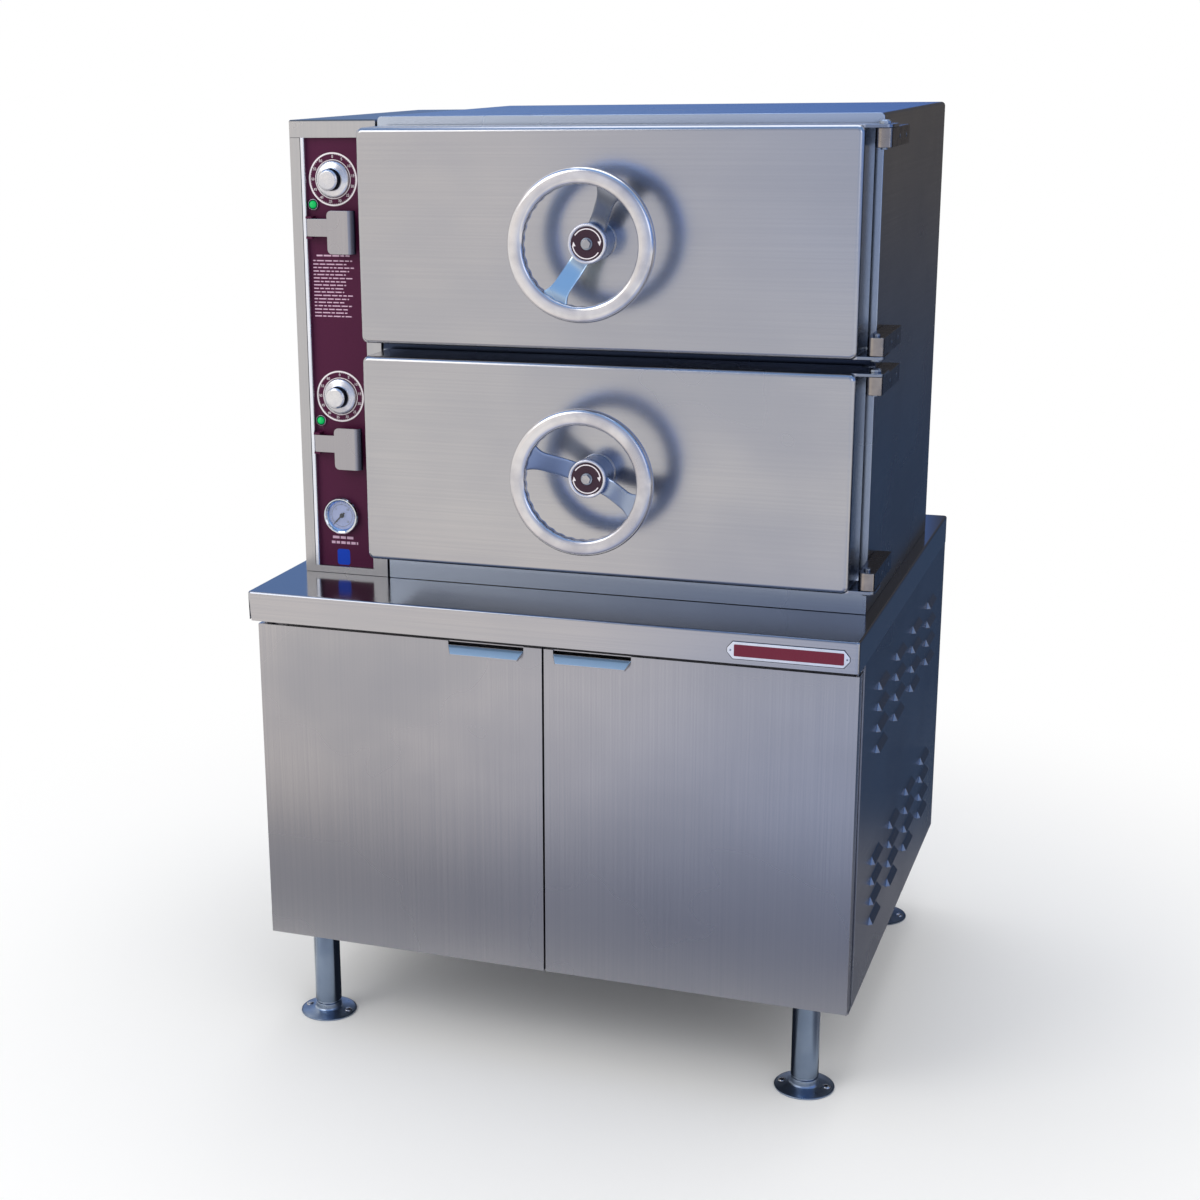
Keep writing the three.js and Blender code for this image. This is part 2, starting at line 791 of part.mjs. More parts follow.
// Cabinet door: a hemmed pan with a notch in its top edge and a finger tab bent out of it
function cabinetDoor(side) {
  const inner = side * (cabinetDoorMiddleGap / 2);
  const outer = side * cabinetDoorOuter;
  const x0 = Math.min(inner, outer);
  const x1 = Math.max(inner, outer);
  const bottom = cabinetDoorBottom;
  const top = cabinetDoorTop;
  const sheet = panelSheet;
  const hem = cabinetDoorHem;
  const front = cabinetDoorFront;
  const back = cabinetDoorBack;
  const shell = block(x0, x1, front, back, bottom, top)
    .subtract(block(x0 + sheet, x1 - sheet, front + sheet, back - sheet, bottom + sheet, top - sheet))
    .subtract(block(x0 + hem, x1 - hem, back - sheet - cutOver, back + cutOver, bottom + hem, top - hem));
  const tabX = side < 0 ? -leftTabFromMiddle : rightTabFromMiddle;
  const notchFloor = top - tabNotchDepth;
  const notch = block(
    tabX - tabRoot / 2, tabX + tabRoot / 2,
    front - cutOver, front + sheet + cutOver,
    notchFloor, top + cutOver,
  );
  const slope = polygon([
    [front + sheet, notchFloor],
    [front - tabReach, notchFloor - tabDrop],
    [front - tabReach, notchFloor - tabDrop - tabSheet],
    [front - tabReach + tabSheet, notchFloor - tabDrop - tabSheet],
    [front + sheet, notchFloor - tabSheet - tabSheet],
  ]);
  const strip = plate(slope, "x", tabX - tabRoot / 2, tabX + tabRoot / 2);
  const taper = [-1, 1].map((end) => {
    const root = tabX + (end * tabRoot) / 2;
    const tip = tabX + (end * tabTip) / 2;
    const away = end * cutOver;
    const wedge = polygon([
      [root, front],
      [tip, front - tabReach],
      [tip, front - tabReach - cutOver],
      [root + away, front - tabReach - cutOver],
      [root + away, front],
    ]);
    return plate(wedge, "z", notchFloor - tabDrop - tabSheet - cutOver, notchFloor + cutOver);
  });
  const pivot = cabinetPivot();
  const at = new THREE.Vector3(side * pivot.x, pivot.y, 0);
  const bore = rod(cabinetPivotPin + 2 * seatGap, "z", at, bottom - cutOver, top + cutOver, pipeSides);
  return shell.subtract(notch).add(strip.subtract(join(taper))).subtract(bore);
}

// Body shell: top, sides and back in one wrap with rounded upper edges and a hem on the counter
function bodyShell() {
  const front = bodyFront + bodySheet + seatGap;
  const bottom = bodyBottom + seatGap;
  const bend = [0, 0, bodyBend, bodyBend];
  const outer = plate(roundedRectangle(bodyLeft, bodyRight, bottom, bodyTop, bend), "y", front, bodyBack);
  const inset = bodySheet;
  const innerBend = [0, 0, bodyBend - inset, bodyBend - inset];
  const hollow = plate(
    roundedRectangle(bodyLeft + inset, bodyRight - inset, bottom + inset, bodyTop - inset, innerBend),
    "y", front - cutOver, bodyBack - inset,
  );
  const hem = bodyHem;
  const mouth = block(
    bodyLeft + hem, bodyRight - hem,
    front - cutOver, bodyBack - bodyBackHem,
    bottom - cutOver, bottom + inset + cutOver,
  );
  return outer.subtract(hollow).subtract(mouth);
}

// One strike: a post with a lip that a latch bolt passes behind; side is towards the door's edge
function strike(side, reach, z) {
  const lipEdge = reach + strikeFree;
  const postInner = reach + scrollThrow + strikeStop;
  const postOuter = postInner + strikePost;
  const lipFront = doorFront + strikeLipFront;
  const low = z - strikeHeight / 2;
  const high = z + strikeHeight / 2;
  const span = (a, b) => [doorCentreX + side * a, doorCentreX + side * b].sort((p, q) => p - q);
  const [lipLeft, lipRight] = span(lipEdge, postOuter);
  const [postLeft, postRight] = span(postInner, postOuter);
  const lip = block(lipLeft, lipRight, lipFront, lipFront + strikeLip, low, high);
  const post = block(postLeft, postRight, lipFront, bodyFront + cutOver, low, high);
  return lip.add(post);
}

// Body front frame: a sheet with two mouths for the compartments and four strikes
function bodyFrontFrame() {
  const bottom = bodyBottom + seatGap;
  const bend = [0, 0, bodyBend, bodyBend];
  const outline = roundedRectangle(bodyLeft, bodyRight, bottom, bodyTop, bend);
  let frame = plate(outline, "y", bodyFront, bodyFront + bodySheet);
  for (const z of [lowerDoorZ, upperDoorZ]) {
    const width = mouthWidth + 2 * compartmentWall + 2 * seatGap;
    const height = mouthHeight + 2 * compartmentWall + 2 * seatGap;
    const hole = evenRectangle(doorCentreX, z, width, height, mouthRadius + compartmentWall);
    frame = frame.subtract(plate(hole, "y", bodyFront - cutOver, bodyFront + bodySheet + cutOver));
    frame = frame.add(strike(-1, boltReachLeft, z));
    frame = frame.add(strike(1, boltReachRight, z));
  }
  return frame;
}

// Compartment: a rounded box open to the front, with a mouth flange, pan ledges and two ports behind
function compartment() {
  const face = mouthFace;
  const back = face + compartmentDepth;
  const wall = 2 * compartmentWall;
  const outerRadius = mouthRadius + compartmentWall;
  const outer = evenRectangle(0, 0, mouthWidth + wall, mouthHeight + wall, outerRadius);
  const inner = evenRectangle(0, 0, mouthWidth, mouthHeight, mouthRadius);
  const rim = 2 * mouthFlange;
  const flange = evenRectangle(0, 0, mouthWidth + rim, mouthHeight + rim, mouthRadius + mouthFlange);
  const flangeBack = frameFace - seatGap;
  let made = plate(outer, "y", face, back).add(plate(flange, "y", face, flangeBack));
  made = made.subtract(plate(inner, "y", face - cutOver, back - compartmentWall));
  const ledges = [];
  for (const side of [-1, 1]) {
    const wallX = side * (mouthWidth / 2 + compartmentWall / 2);
    const tipX = side * (mouthWidth / 2 - ledgeWidth);
    for (const share of ledgeHeightShares) {
      const z = share * mouthHeight;
      const start = face + ledgeSetBack;
      const x0 = Math.min(wallX, tipX);
      const x1 = Math.max(wallX, tipX);
      ledges.push(block(x0, x1, start, start + ledgeLength, z - ledgeThickness, z));
    }
  }
  made = made.add(join(ledges));
  const steamAt = new THREE.Vector3();
  const drainAt = new THREE.Vector3(-drainOffset, 0, -mouthHeight / 2 + drainLift);
  const through = [back - compartmentWall - cutOver, back + cutOver];
  return made
    .subtract(rod(riserStub + 2 * pipeClearance, "y", steamAt, ...through))
    .subtract(rod(drainStub + 2 * pipeClearance, "y", drainAt, ...through));
}

// Insulation: one block round both compartments
function insulationJacket() {
  const inset = bodySheet + jacketInset;
  const front = bodyFront + bodySheet + jacketFront;
  const back = doorFront + mouthFace + compartmentDepth - jacketBack;
  const bend = bodyBend;
  const outline = roundedRectangle(
    bodyLeft + inset, bodyRight - inset, bodyBottom + inset, bodyTop - inset, [bend, bend, bend, bend],
  );
  let made = plate(outline, "y", front, back);
  for (const z of [lowerDoorZ, upperDoorZ]) {
    const extra = 2 * compartmentWall + 2 * jacketClearance;
    const radius = mouthRadius + compartmentWall;
    const hole = evenRectangle(doorCentreX, z, mouthWidth + extra, mouthHeight + extra, radius);
    made = made.subtract(plate(hole, "y", front - cutOver, back + cutOver));
  }
  return made;
}

// A guide that a latch bolt slides through, standing on the door's inner face
function boltGuide(side, reach) {
  const outerX = reach - guideFromTip;
  const innerX = outerX - guideLength;
  const x0 = Math.min(side * innerX, side * outerX);
  const x1 = Math.max(side * innerX, side * outerX);
  const tall = boltHeight / 2 + guideBorder;
  const window = boltHeight / 2 + seatGap;
  const back = boltBack + guideBack;
  const post = block(x0, x1, doorSheet / 2, back, -tall, tall);
  const slot = block(x0 - cutOver, x1 + cutOver, boltFront - seatGap, boltBack + seatGap, -window, window);
  return post.subtract(slot);
}

// Compartment door: a pan with rolled edges, two ears, a spindle boss and two bolt guides
function compartmentDoor() {
  const outer = rolledBlock(
    0, 0, doorWidth, doorHeight, doorCornerRadius, doorEdgeRadius, "y", 0, doorDepth,
  );
  const wall = 2 * doorSheet;
  const cavity = rolledBlock(
    0, 0, doorWidth - wall, doorHeight - wall, doorCornerRadius, doorEdgeRadius - doorSheet,
    "y", doorSheet, doorDepth + cutOver,
  );
  const axisX = doorWidth / 2 + hingeOffsetX;
  const axisY = hingeOffsetY;
  const earOutline = roundedRectangle(
    doorWidth / 2 - earRoot,
    axisX + earBeyond,
    axisY - earFrontReach,
    axisY + earBackReach,
    [0, earRounding, earRounding, 0],
  );
  const at = new THREE.Vector3(axisX, axisY, 0);
  const ears = [-1, 1].map((end) => {
    const tip = (end * doorHeight) / 2;
    const inside = tip - end * earThickness;
    const low = Math.min(tip, inside);
    const high = Math.max(tip, inside);
    const bore = rod(hingePin + 2 * seatGap, "z", at, low - cutOver, high + cutOver);
    return plate(earOutline, "z", low, high).subtract(bore);
  });
  const centre = new THREE.Vector3();
  const boss = rod(spindleBoss, "y", centre, doorSheet / 2, camSetBack - linerTravelLeft, dishSides);
  const bushing = rod(doorBushing, "y", centre, -doorBushingReach, doorSheet / 2, dishSides);
  const bore = rod(
    spindle + 2 * seatGap, "y", centre, -doorBushingReach - cutOver, camSetBack + cutOver, dishSides,
  );
  const guides = [boltGuide(-1, boltReachLeft), boltGuide(1, boltReachRight)];
  return join([outer.subtract(cavity), ...ears, boss, bushing, ...guides]).subtract(bore);
}

// Hinge pin: a shank through an ear and its block, with a head outside the ear
function hingePinSolid(end) {
  const axisX = doorWidth / 2 + hingeOffsetX;
  const at = new THREE.Vector3(axisX, hingeOffsetY, 0);
  const tip = (end * doorHeight) / 2;
  const headFrom = tip + end * seatGap;
  const headTo = headFrom + end * hingePinHeadHeight;
  const tail = tip - end * (earThickness + blockEarGap + blockHeight + hingePinTail);
  const radius = hingePin / 2;
  const head = hingePinHead / 2;
  const chamfer = hingePinHeadHeight / 3;
  const profile = [
    [0, tail],
    [radius, tail],
    [radius, headFrom],
    [head, headFrom],
    [head, headTo - end * chamfer],
    [head - chamfer, headTo],
    [0, headTo],
  ];
  return turned(profile, "z", at, pipeSides);
}

// Hinge block: a bar along the body's side with a rounded front and the pin's bore
function hingeBlock(end) {
  const axisX = doorWidth / 2 + hingeOffsetX;
  const sideX = doorWidth / 2 + bodyRightMargin + seatGap;
  const radii = [blockInnerRounding, blockOuterRounding, 0, 0];
  const outline = roundedRectangle(
    sideX, sideX + blockWidth, hingeOffsetY - blockFrontReach, hingeOffsetY + blockBackReach, radii,
  );
  const near = end * (doorHeight / 2 - earThickness - blockEarGap);
  const far = near - end * blockHeight;
  const low = Math.min(near, far);
  const high = Math.max(near, far);
  const at = new THREE.Vector3(axisX, hingeOffsetY, 0);
  const bore = rod(hingePin + 2 * seatGap, "z", at, low - cutOver, high + cutOver);
  return plate(outline, "z", low, high).subtract(bore);
}

// Wheel: an oval rim, two spokes that lean forward to it and widen, and a hub with a face plate
function wheel(turn) {
  const rimRadius = (wheelDiameter - wheelRimWidth) / 2;
  const section = [];
  for (let i = 0; i <= rimSides; i += 1) {
    const angle = (i / rimSides) * 2 * Math.PI;
    const across = rimRadius + (wheelRimWidth / 2) * Math.sin(angle);
    section.push([across, -wheelRimReach + (wheelRimDepth / 2) * Math.cos(angle)]);
  }
  const rim = turned(section, "y", new THREE.Vector3(), rimSteps);
  const hubStart = wheelHub / 2 - spokeThickness;
  const spokeHubY = -wheelHubReach + wheelHubPlateThickness + spokeHubSetBack;
  const rise = wheelRimReach + spokeHubY;
  const run = rimRadius - hubStart;
  const slope = Math.atan2(rise, run);
  const length = Math.hypot(rise, run);
  const waist = spokeHubWidth / 2;
  const flare = spokeRimWidth / 2;
  const outline = new THREE.Shape();
  outline.moveTo(0, -waist);
  outline.lineTo(length * spokeNeckShare, -waist);
  outline.quadraticCurveTo(length * spokeFlareShare, -waist, length, -flare);
  outline.lineTo(length, flare);
  outline.quadraticCurveTo(length * spokeFlareShare, waist, length * spokeNeckShare, waist);
  outline.lineTo(0, waist);
  const parts = [rim];
  for (const half of [0, 1]) {
    const spoke = new THREE.ExtrudeGeometry(outline, {
      depth: spokeThickness,
      bevelEnabled: false,
      curveSegments: spokeSteps,
    });
    spoke.rotateX(Math.PI / 2);
    spoke.translate(0, spokeThickness / 2, 0);
    spoke.rotateZ(-slope);
    spoke.translate(hubStart, spokeHubY, 0);
    spoke.rotateY(-THREE.MathUtils.degToRad(turn + 180 * half));
    parts.push(solid(spoke));
  }
  const hubBack = -doorBushingReach - seatGap;
  const faceBack = -wheelHubReach + wheelHubPlateThickness;
  const plateRadius = wheelHubPlate / 2;
  const hubRadius = wheelHub / 2;
  const profile = [
    [0, -wheelHubReach],
    [plateRadius - wheelHubPlateThickness / 4, -wheelHubReach],
    [plateRadius, -wheelHubReach + wheelHubPlateThickness / 4],
    [plateRadius, faceBack],
    [hubRadius, faceBack],
    [hubRadius, hubBack],
    [0, hubBack],
  ];
  const centre = new THREE.Vector3();
  const bore = rod(spindle + 2 * seatGap, "y", centre, hubBack - spindleInHub - seatGap, hubBack + cutOver);
  return join([...parts, turned(profile, "y", centre, dishSides)]).subtract(bore);
}

// The outline of one scroll slot: a spiral band that moves its pin out as the cam turns
function scrollSlot(startAngle) {
  const width = boltPin / 2 + seatGap;
  const sweep = THREE.MathUtils.degToRad(scrollTurn);
  const outer = [];
  const inner = [];
  for (let i = 0; i <= scrollSteps; i += 1) {
    const share = i / scrollSteps;
    const angle = startAngle - share * sweep;
    const radius = scrollStart + share * scrollThrow;
    const wide = (radius + width) / Math.cos(sweep / scrollSteps / 2);
    outer.push([Math.cos(angle) * wide, -Math.sin(angle) * wide]);
    inner.push([Math.cos(angle) * (radius - width), -Math.sin(angle) * (radius - width)]);
  }
  return polygon([...outer, ...inner.reverse()]);
}

// Spindle: a shaft from the wheel's hub to the liner, with the scroll cam fixed on it
function spindleSolid() {
  const centre = new THREE.Vector3();
  const start = -doorBushingReach - seatGap - spindleInHub;
  const end = linerBossFront + spindleInLiner;
  let made = rod(spindle, "y", centre, start, end).add(
    rod(2 * camRadius, "y", centre, camSetBack, camSetBack + camThickness, dishSides),
  );
  for (const startAngle of [0, Math.PI]) {
    const slot = plate(
      scrollSlot(startAngle), "y", camSetBack - cutOver, camSetBack + camThickness + cutOver,
    );
    const sweep = THREE.MathUtils.degToRad(scrollTurn);
    made = made.subtract(slot);
    for (const share of [0, 1]) {
      const angle = startAngle - share * sweep;
      const radius = scrollStart + share * scrollThrow;
      const at = new THREE.Vector3(Math.cos(angle) * radius, 0, -Math.sin(angle) * radius);
      const round = boltPin + 2 * seatGap;
      made = made.subtract(
        rod(round, "y", at, camSetBack - cutOver, camSetBack + camThickness + cutOver, pipeSides),
      );
    }
  }
  return made;
}

// Latch bolt: a flat bar with a rounded tip and a pin that runs in the cam's scroll
function latchBolt(side, reach) {
  const half = boltHeight / 2;
  const start = scrollStart - boltInnerEnd;
  const tipRadii = side > 0 ? [0, half / 3, half / 3, 0] : [half / 3, 0, 0, half / 3];
  const x0 = Math.min(side * start, side * reach);
  const x1 = Math.max(side * start, side * reach);
  const bar = plate(roundedRectangle(x0, x1, -half, half, tipRadii), "y", boltFront, boltBack);
  const at = new THREE.Vector3(side * scrollStart, 0, 0);
  return bar.add(rod(boltPin, "y", at, camSetBack + boltPinShort, boltFront + cutOver, pipeSides));
}

// Liner: the inner door plate, pressed back in the middle, with the boss that the spindle screws into
function liner() {
  const rim = 2 * mouthFlange + 2 * linerMargin;
  const width = mouthWidth + rim;
  const height = mouthHeight + rim;
  const radius = mouthRadius + mouthFlange + linerMargin;
  const sheet = plate(evenRectangle(0, 0, width, height, radius), "y", linerFront, linerBack);
  const inset = 2 * linerPanelInset;
  const taper = 2 * linerPanelTaper;
  const panelRadius = mouthRadius;
  const pressing = (less) => evenRectangle(0, 0, width - inset - less, height - inset - less, panelRadius);
  const dish = (less, from, to) => stacked([
    { outline: pressing(less), at: from },
    { outline: pressing(less + taper), at: to },
  ], "y");
  const raised = dish(0, linerFront + linerSheet / 2, linerBack + linerPanelRise);
  const hollow = dish(2 * linerSheet, linerFront - cutOver, linerFront + linerPanelRise);
  const centre = new THREE.Vector3();
  const bossBack = linerFront + linerBossBack + linerSheet;
  const boss = rod(linerBoss, "y", centre, linerBossFront, bossBack, dishSides);
  const bore = rod(
    spindle + 2 * seatGap, "y", centre, linerBossFront - cutOver, bossBack - linerBossFloor,
  );
  return join([sheet, raised]).subtract(hollow).add(boss).subtract(bore);
}

// Gasket: a soft ring on the liner that meets the middle of the mouth flange
function gasket() {
  const midWidth = mouthWidth + mouthFlange;
  const midHeight = mouthHeight + mouthFlange;
  const outerRadius = mouthRadius + mouthFlange / 2 + gasketWidth / 2;
  const innerRadius = mouthRadius + mouthFlange / 2 - gasketWidth / 2;
  const outer = evenRectangle(0, 0, midWidth + gasketWidth, midHeight + gasketWidth, outerRadius);
  const inner = evenRectangle(0, 0, midWidth - gasketWidth, midHeight - gasketWidth, innerRadius);
  const from = linerBack + seatGap;
  return plate(outer, "y", from, gasketBack).subtract(
    plate(inner, "y", from - cutOver, gasketBack + cutOver),
  );
}

// Control column: a tall sheet box open below, with a window whose edges are turned in
function columnShell() {
  const left = -columnWidth / 2;
  const right = columnWidth / 2;
  const height = bodyTop - columnDrop - counterHeight;
  const bend = [0, 0, columnBend, columnBend];
  const sheet = columnSheet;
  const outer = plate(roundedRectangle(left, right, seatGap, height, bend), "y", 0, columnDepth);
  const inner = block(
    left + sheet, right - sheet, sheet, columnDepth - sheet, seatGap - cutOver, height - sheet,
  );
  const x0 = left + windowLeftStrip;
  const x1 = x0 + windowWidth;
  const z0 = windowSill;
  const z1 = height - windowHead;
  const frame = block(x0 - sheet, x1 + sheet, sheet / 2, windowRecess, z0 - sheet, z1 + sheet);
  const window = block(x0, x1, -cutOver, windowRecess + cutOver, z0, z1);
  return outer.subtract(inner).add(frame).subtract(window);
}

// The middle of the control window, across the column
function windowMiddle() {
  return -columnWidth / 2 + windowLeftStrip + windowWidth / 2;
}

// Where a lever's upright pivot stands, in front of the panel
function leverPivot() {
  const x = -columnWidth / 2 + windowLeftStrip + leverPivotInset;
  return { x, y: windowRecess + seatGap - leverStandOff };
}

// Control panel: a plate behind the window, with holes for what it carries and lugs for the levers
function controlPanel() {
  const height = bodyTop - columnDrop - counterHeight;
  const x0 = -columnWidth / 2 + windowLeftStrip;
  const front = windowRecess + seatGap;
  const back = front + panelThickness;
  const middle = windowMiddle();
  let made = block(
    x0 - panelMargin, x0 + windowWidth + panelMargin, front, back,
    windowSill - panelMargin, height - windowHead + panelMargin,
  );
  const hole = (x, z, diameter) => {
    const at = new THREE.Vector3(x, 0, z);
    return rod(diameter + 2 * seatGap, "y", at, front - cutOver, back + cutOver, dishSides);
  };
  made = made
    .subtract(hole(middle + dialOffsetX, upperDialHeight, timerCollar))
    .subtract(hole(middle + dialOffsetX, lowerDialHeight, timerCollar))
    .subtract(hole(x0 + lampInset, upperLampHeight, lampBarrel))
    .subtract(hole(x0 + lampInset, lowerLampHeight, lampBarrel))
    .subtract(hole(middle + gaugeOffsetX, gaugeHeight, gaugeTube));
  const pivot = leverPivot();
  const pinAt = new THREE.Vector3(pivot.x, pivot.y, 0);
  const half = leverBarHeight / 2 + seatGap;
  const wide = leverBarrel / 2;
  for (const z of [upperLeverHeight, lowerLeverHeight]) {
    for (const end of [-1, 1]) {
      const near = z + end * half;
      const far = near + end * leverLug;
      const low = Math.min(near, far);
      const high = Math.max(near, far);
      const root = front + panelThickness / 2;
      const lug = block(pivot.x - wide, pivot.x + wide, pivot.y - wide, root, low, high);
      made = made.add(lug);
    }
    made = made.add(rod(leverPivotPin, "z", pinAt, z - half - leverLug, z + half + leverLug, pipeSides));
  }
  return made;
}

// Lever: a barrel on its pivot, a flat bar and a paddle whose far edge curls back
function lever() {
  const pivot = leverPivot();
  const half = leverBarHeight / 2;
  const at = new THREE.Vector3(pivot.x, pivot.y, 0);
  const barrel = rod(leverBarrel, "z", at, -half, half);
  const barFront = pivot.y - leverBarrel / 2;
  const barBack = barFront + leverBarThickness;
  const barEnd = pivot.x + leverBarLength;
  const bar = block(pivot.x, barEnd, barFront, barBack, -half, half);
  const sheetFront = barFront - paddleSheet;
  const start = barEnd - paddleLap;
  const flatEnd = start + paddleWidth - paddleCurl;
  const quarter = Math.PI / 2;
  const section = new THREE.Shape();
  section.moveTo(start, barFront);
  section.lineTo(start, sheetFront);
  section.lineTo(flatEnd, sheetFront);
  section.absarc(flatEnd, sheetFront + paddleCurl, paddleCurl, -quarter, 0, false);
  section.lineTo(flatEnd + paddleCurl - paddleSheet, sheetFront + paddleCurl);
  section.absarc(flatEnd, sheetFront + paddleCurl, paddleCurl - paddleSheet, 0, -quarter, true);
  const low = -paddleHeight / 2 - paddleDrop;
  const high = paddleHeight / 2 - paddleDrop;
  const sheet = plate(section, "z", low, high);
  const corner = paddleRounding;
  const face = roundedRectangle(start, start + paddleWidth + cutOver, low, high, [corner, 0, 0, corner]);
  const trimmed = sheet.intersect(plate(face, "y", sheetFront - cutOver, barBack + paddleCurl));
  const bore = rod(leverPivotPin + 2 * seatGap, "z", at, -half - cutOver, half + cutOver, pipeSides);
  return join([barrel, bar, trimmed]).subtract(bore);
}

// Timer: a case behind the panel with a collar that comes through it
function timerBody() {
  const panelBack = windowRecess + seatGap + panelThickness;
  const caseFront = panelBack + seatGap;
  const half = timerWidth / 2;
  const tall = timerHeight / 2;
  const at = new THREE.Vector3();
  const body = block(-half, half, caseFront, caseFront + timerDepth, -tall, tall);
  const collar = rod(timerCollar, "y", at, windowRecess, caseFront + cutOver);
  const boreEnd = windowRecess + knobShaftIn + cutOver;
  const bore = rod(knobShaft + 2 * seatGap, "y", at, windowRecess - cutOver, boreEnd);
  return body.add(collar).subtract(bore);
}

// Knob: a shallow skirt, a tapered grip with a pointer ridge, and its shaft
function knob() {
  const back = windowRecess - seatGap;
  const front = back - knobReach;
  const skirt = knobSkirt / 2;
  const grip = knobGrip / 2;
  const skirtFront = back - knobSkirtThickness;
  const shaft = knobShaft / 2;
  const profile = [
    [0, front],
    [grip - knobGripTaper - knobFacePad, front],
    [grip - knobGripTaper, front + knobFacePad],
    [grip, skirtFront - knobSkirtCone / 2],
    [skirt - knobSkirtCone, skirtFront - knobSkirtCone / 2],
    [skirt, skirtFront + knobSkirtCone / 2],
    [skirt, back],
    [shaft, back],
    [shaft, windowRecess + knobShaftIn],
    [0, windowRecess + knobShaftIn],
  ];
  const body = turned(profile, "y", new THREE.Vector3(), dishSides);
  const half = knobPointerWidth / 2;
  const ridge = block(-half, half, front - knobPointerProud, skirtFront, 0, grip);
  return body.add(ridge);
}

// Pilot light: a domed lens in a bezel with a barrel through the panel
function pilotLight() {
  const front = windowRecess - seatGap / 2;
  const lens = lampLens / 2;
  const bezel = lampBezel / 2;
  const barrel = lampBarrel / 2;
  const profile = [[0, front - lampReach]];
  for (let i = 1; i <= lampSteps; i += 1) {
    const angle = (i / lampSteps) * (Math.PI / 2);
    const depth = (lampReach - lampBezelThickness) * (1 - Math.cos(angle));
    profile.push([lens * Math.sin(angle), front - lampReach + depth]);
  }
  profile.push([bezel, front - lampBezelThickness]);
  profile.push([bezel, front]);
  profile.push([barrel, front]);
  profile.push([barrel, front + lampDepth]);
  profile.push([0, front + lampDepth]);
  return turned(profile, "y", new THREE.Vector3(), rodSides);
}

// Gauge case: a bezel in front of the panel and a cup through it, with the dial face inside
function gaugeCase() {
  const seat = windowRecess - seatGap;
  const front = seat - gaugeBezelReach;
  const bezel = gaugeBezel / 2;
  const opening = bezel - gaugeBezelWidth;
  const glassSeat = front + gaugeGlassSetBack;
  const glassBack = glassSeat + gaugeGlass + 2 * seatGap;
  const wide = opening + gaugeShelf;
  const face = front + gaugeFaceSetBack + gaugeGlass;
  const tube = gaugeTube / 2;
  const back = seat + gaugeDepth;
  const profile = [
    [0, face],
    [opening, face],
    [opening, glassBack],
    [wide, glassBack],
    [wide, glassSeat],
    [opening, glassSeat - gaugeGlassSetBack / 2],
    [opening + gaugeBezelWidth / 3, front],
    [bezel - gaugeBezelWidth / 3, front],
    [bezel, front + gaugeBezelWidth / 2],
    [bezel, seat],
    [tube, seat],
    [tube, back],
    [0, back],
  ];
  const centre = new THREE.Vector3();
  const boreEnd = face + needlePinIn + seatGap;
  const bore = rod(needlePin + 2 * seatGap, "y", centre, face - cutOver, boreEnd, pipeSides);
  return turned(profile, "y", centre, dishSides).subtract(bore);
}

// Gauge lens: a glass disc held in the bezel's groove
function gaugeLens() {
  const glassFront = windowRecess - seatGap - gaugeBezelReach + gaugeGlassSetBack + seatGap;
  const radius = gaugeBezel / 2 - gaugeBezelWidth + gaugeShelf - seatGap;
  return rod(2 * radius, "y", new THREE.Vector3(), glassFront, glassFront + gaugeGlass, dishSides);
}

// Gauge needle: a tapered pointer and tail on a hub, with its pin in the dial face
function gaugeNeedle() {
  const face = windowRecess - seatGap - gaugeBezelReach + gaugeFaceSetBack + gaugeGlass;
  const back = face - needleAir;
  const front = back - needleThickness;
  const reach = gaugeBezel / 2 - gaugeBezelWidth;
  const length = reach * needleLengthShare;
  const tail = reach * needleTailShare;
  const outline = polygon([
    [-needleWidth / 2, -tail],
    [needleWidth / 2, -tail],
    [needleTipWidth / 2, length],
    [-needleTipWidth / 2, length],
  ]);
  const centre = new THREE.Vector3();
  const made = plate(outline, "y", front, back)
    .add(rod(needleHub, "y", centre, front, back, pipeSides))
    .add(rod(needlePin, "y", centre, back - needleThickness / 2, face + needlePinIn, pipeSides));
  return made;
}

// Steam generator: a tank with domed heads on two saddles, a manway in front and two nozzles on top
function steamGenerator() {
  const radius = tankDiameter / 2;
  const half = tankLength / 2;
  const profile = [[0, -half - tankHead]];
  for (let i = 1; i <= domeSteps; i += 1) {
    const angle = (i / domeSteps) * (Math.PI / 2);
    profile.push([radius * Math.sin(angle), -half - tankHead * Math.cos(angle)]);
  }
  for (let i = domeSteps; i >= 1; i -= 1) {
    const angle = (i / domeSteps) * (Math.PI / 2);
    profile.push([radius * Math.sin(angle), half + tankHead * Math.cos(angle)]);
  }
  profile.push([0, half + tankHead]);
  const centre = new THREE.Vector3();
  const parts = [turned(profile, "x", centre, dishSides)];
  const floor = -radius - tankLift;
  for (const side of [-1, 1]) {
    const x = (side * saddleSpacing) / 2;
    const saddle = polygon([
      [-saddleSpan / 2, floor],
      [saddleSpan / 2, floor],
      [saddleSpan / 2 - saddleWidth / 2, -radius / 2],
      [-saddleSpan / 2 + saddleWidth / 2, -radius / 2],
    ]);
    parts.push(plate(saddle, "x", x - saddleWidth / 2, x + saddleWidth / 2));
  }
  const nozzleAt = new THREE.Vector3();
  parts.push(rod(nozzle, "z", nozzleAt, radius / 2, radius + nozzleReach));
  const valveAt = new THREE.Vector3(-valveOffset, 0, 0);
  parts.push(rod(nozzle, "z", valveAt, radius / 2, radius + nozzleReach));
  parts.push(rod(manwayDiameter, "y", centre, -radius - manwayReach, 0, dishSides));
  const flangeFront = -radius - manwayReach - manwayFlangeThickness;
  parts.push(rod(manwayFlange, "y", centre, flangeFront, -radius - manwayReach, dishSides));
  return join(parts);
}

// The middle of the tank, behind the counter's front edge and over the floor
function tankMiddle() {
  return { y: tankSetBack, z: legHeight + panelSheet + seatGap + tankLift + tankDiameter / 2 };
}

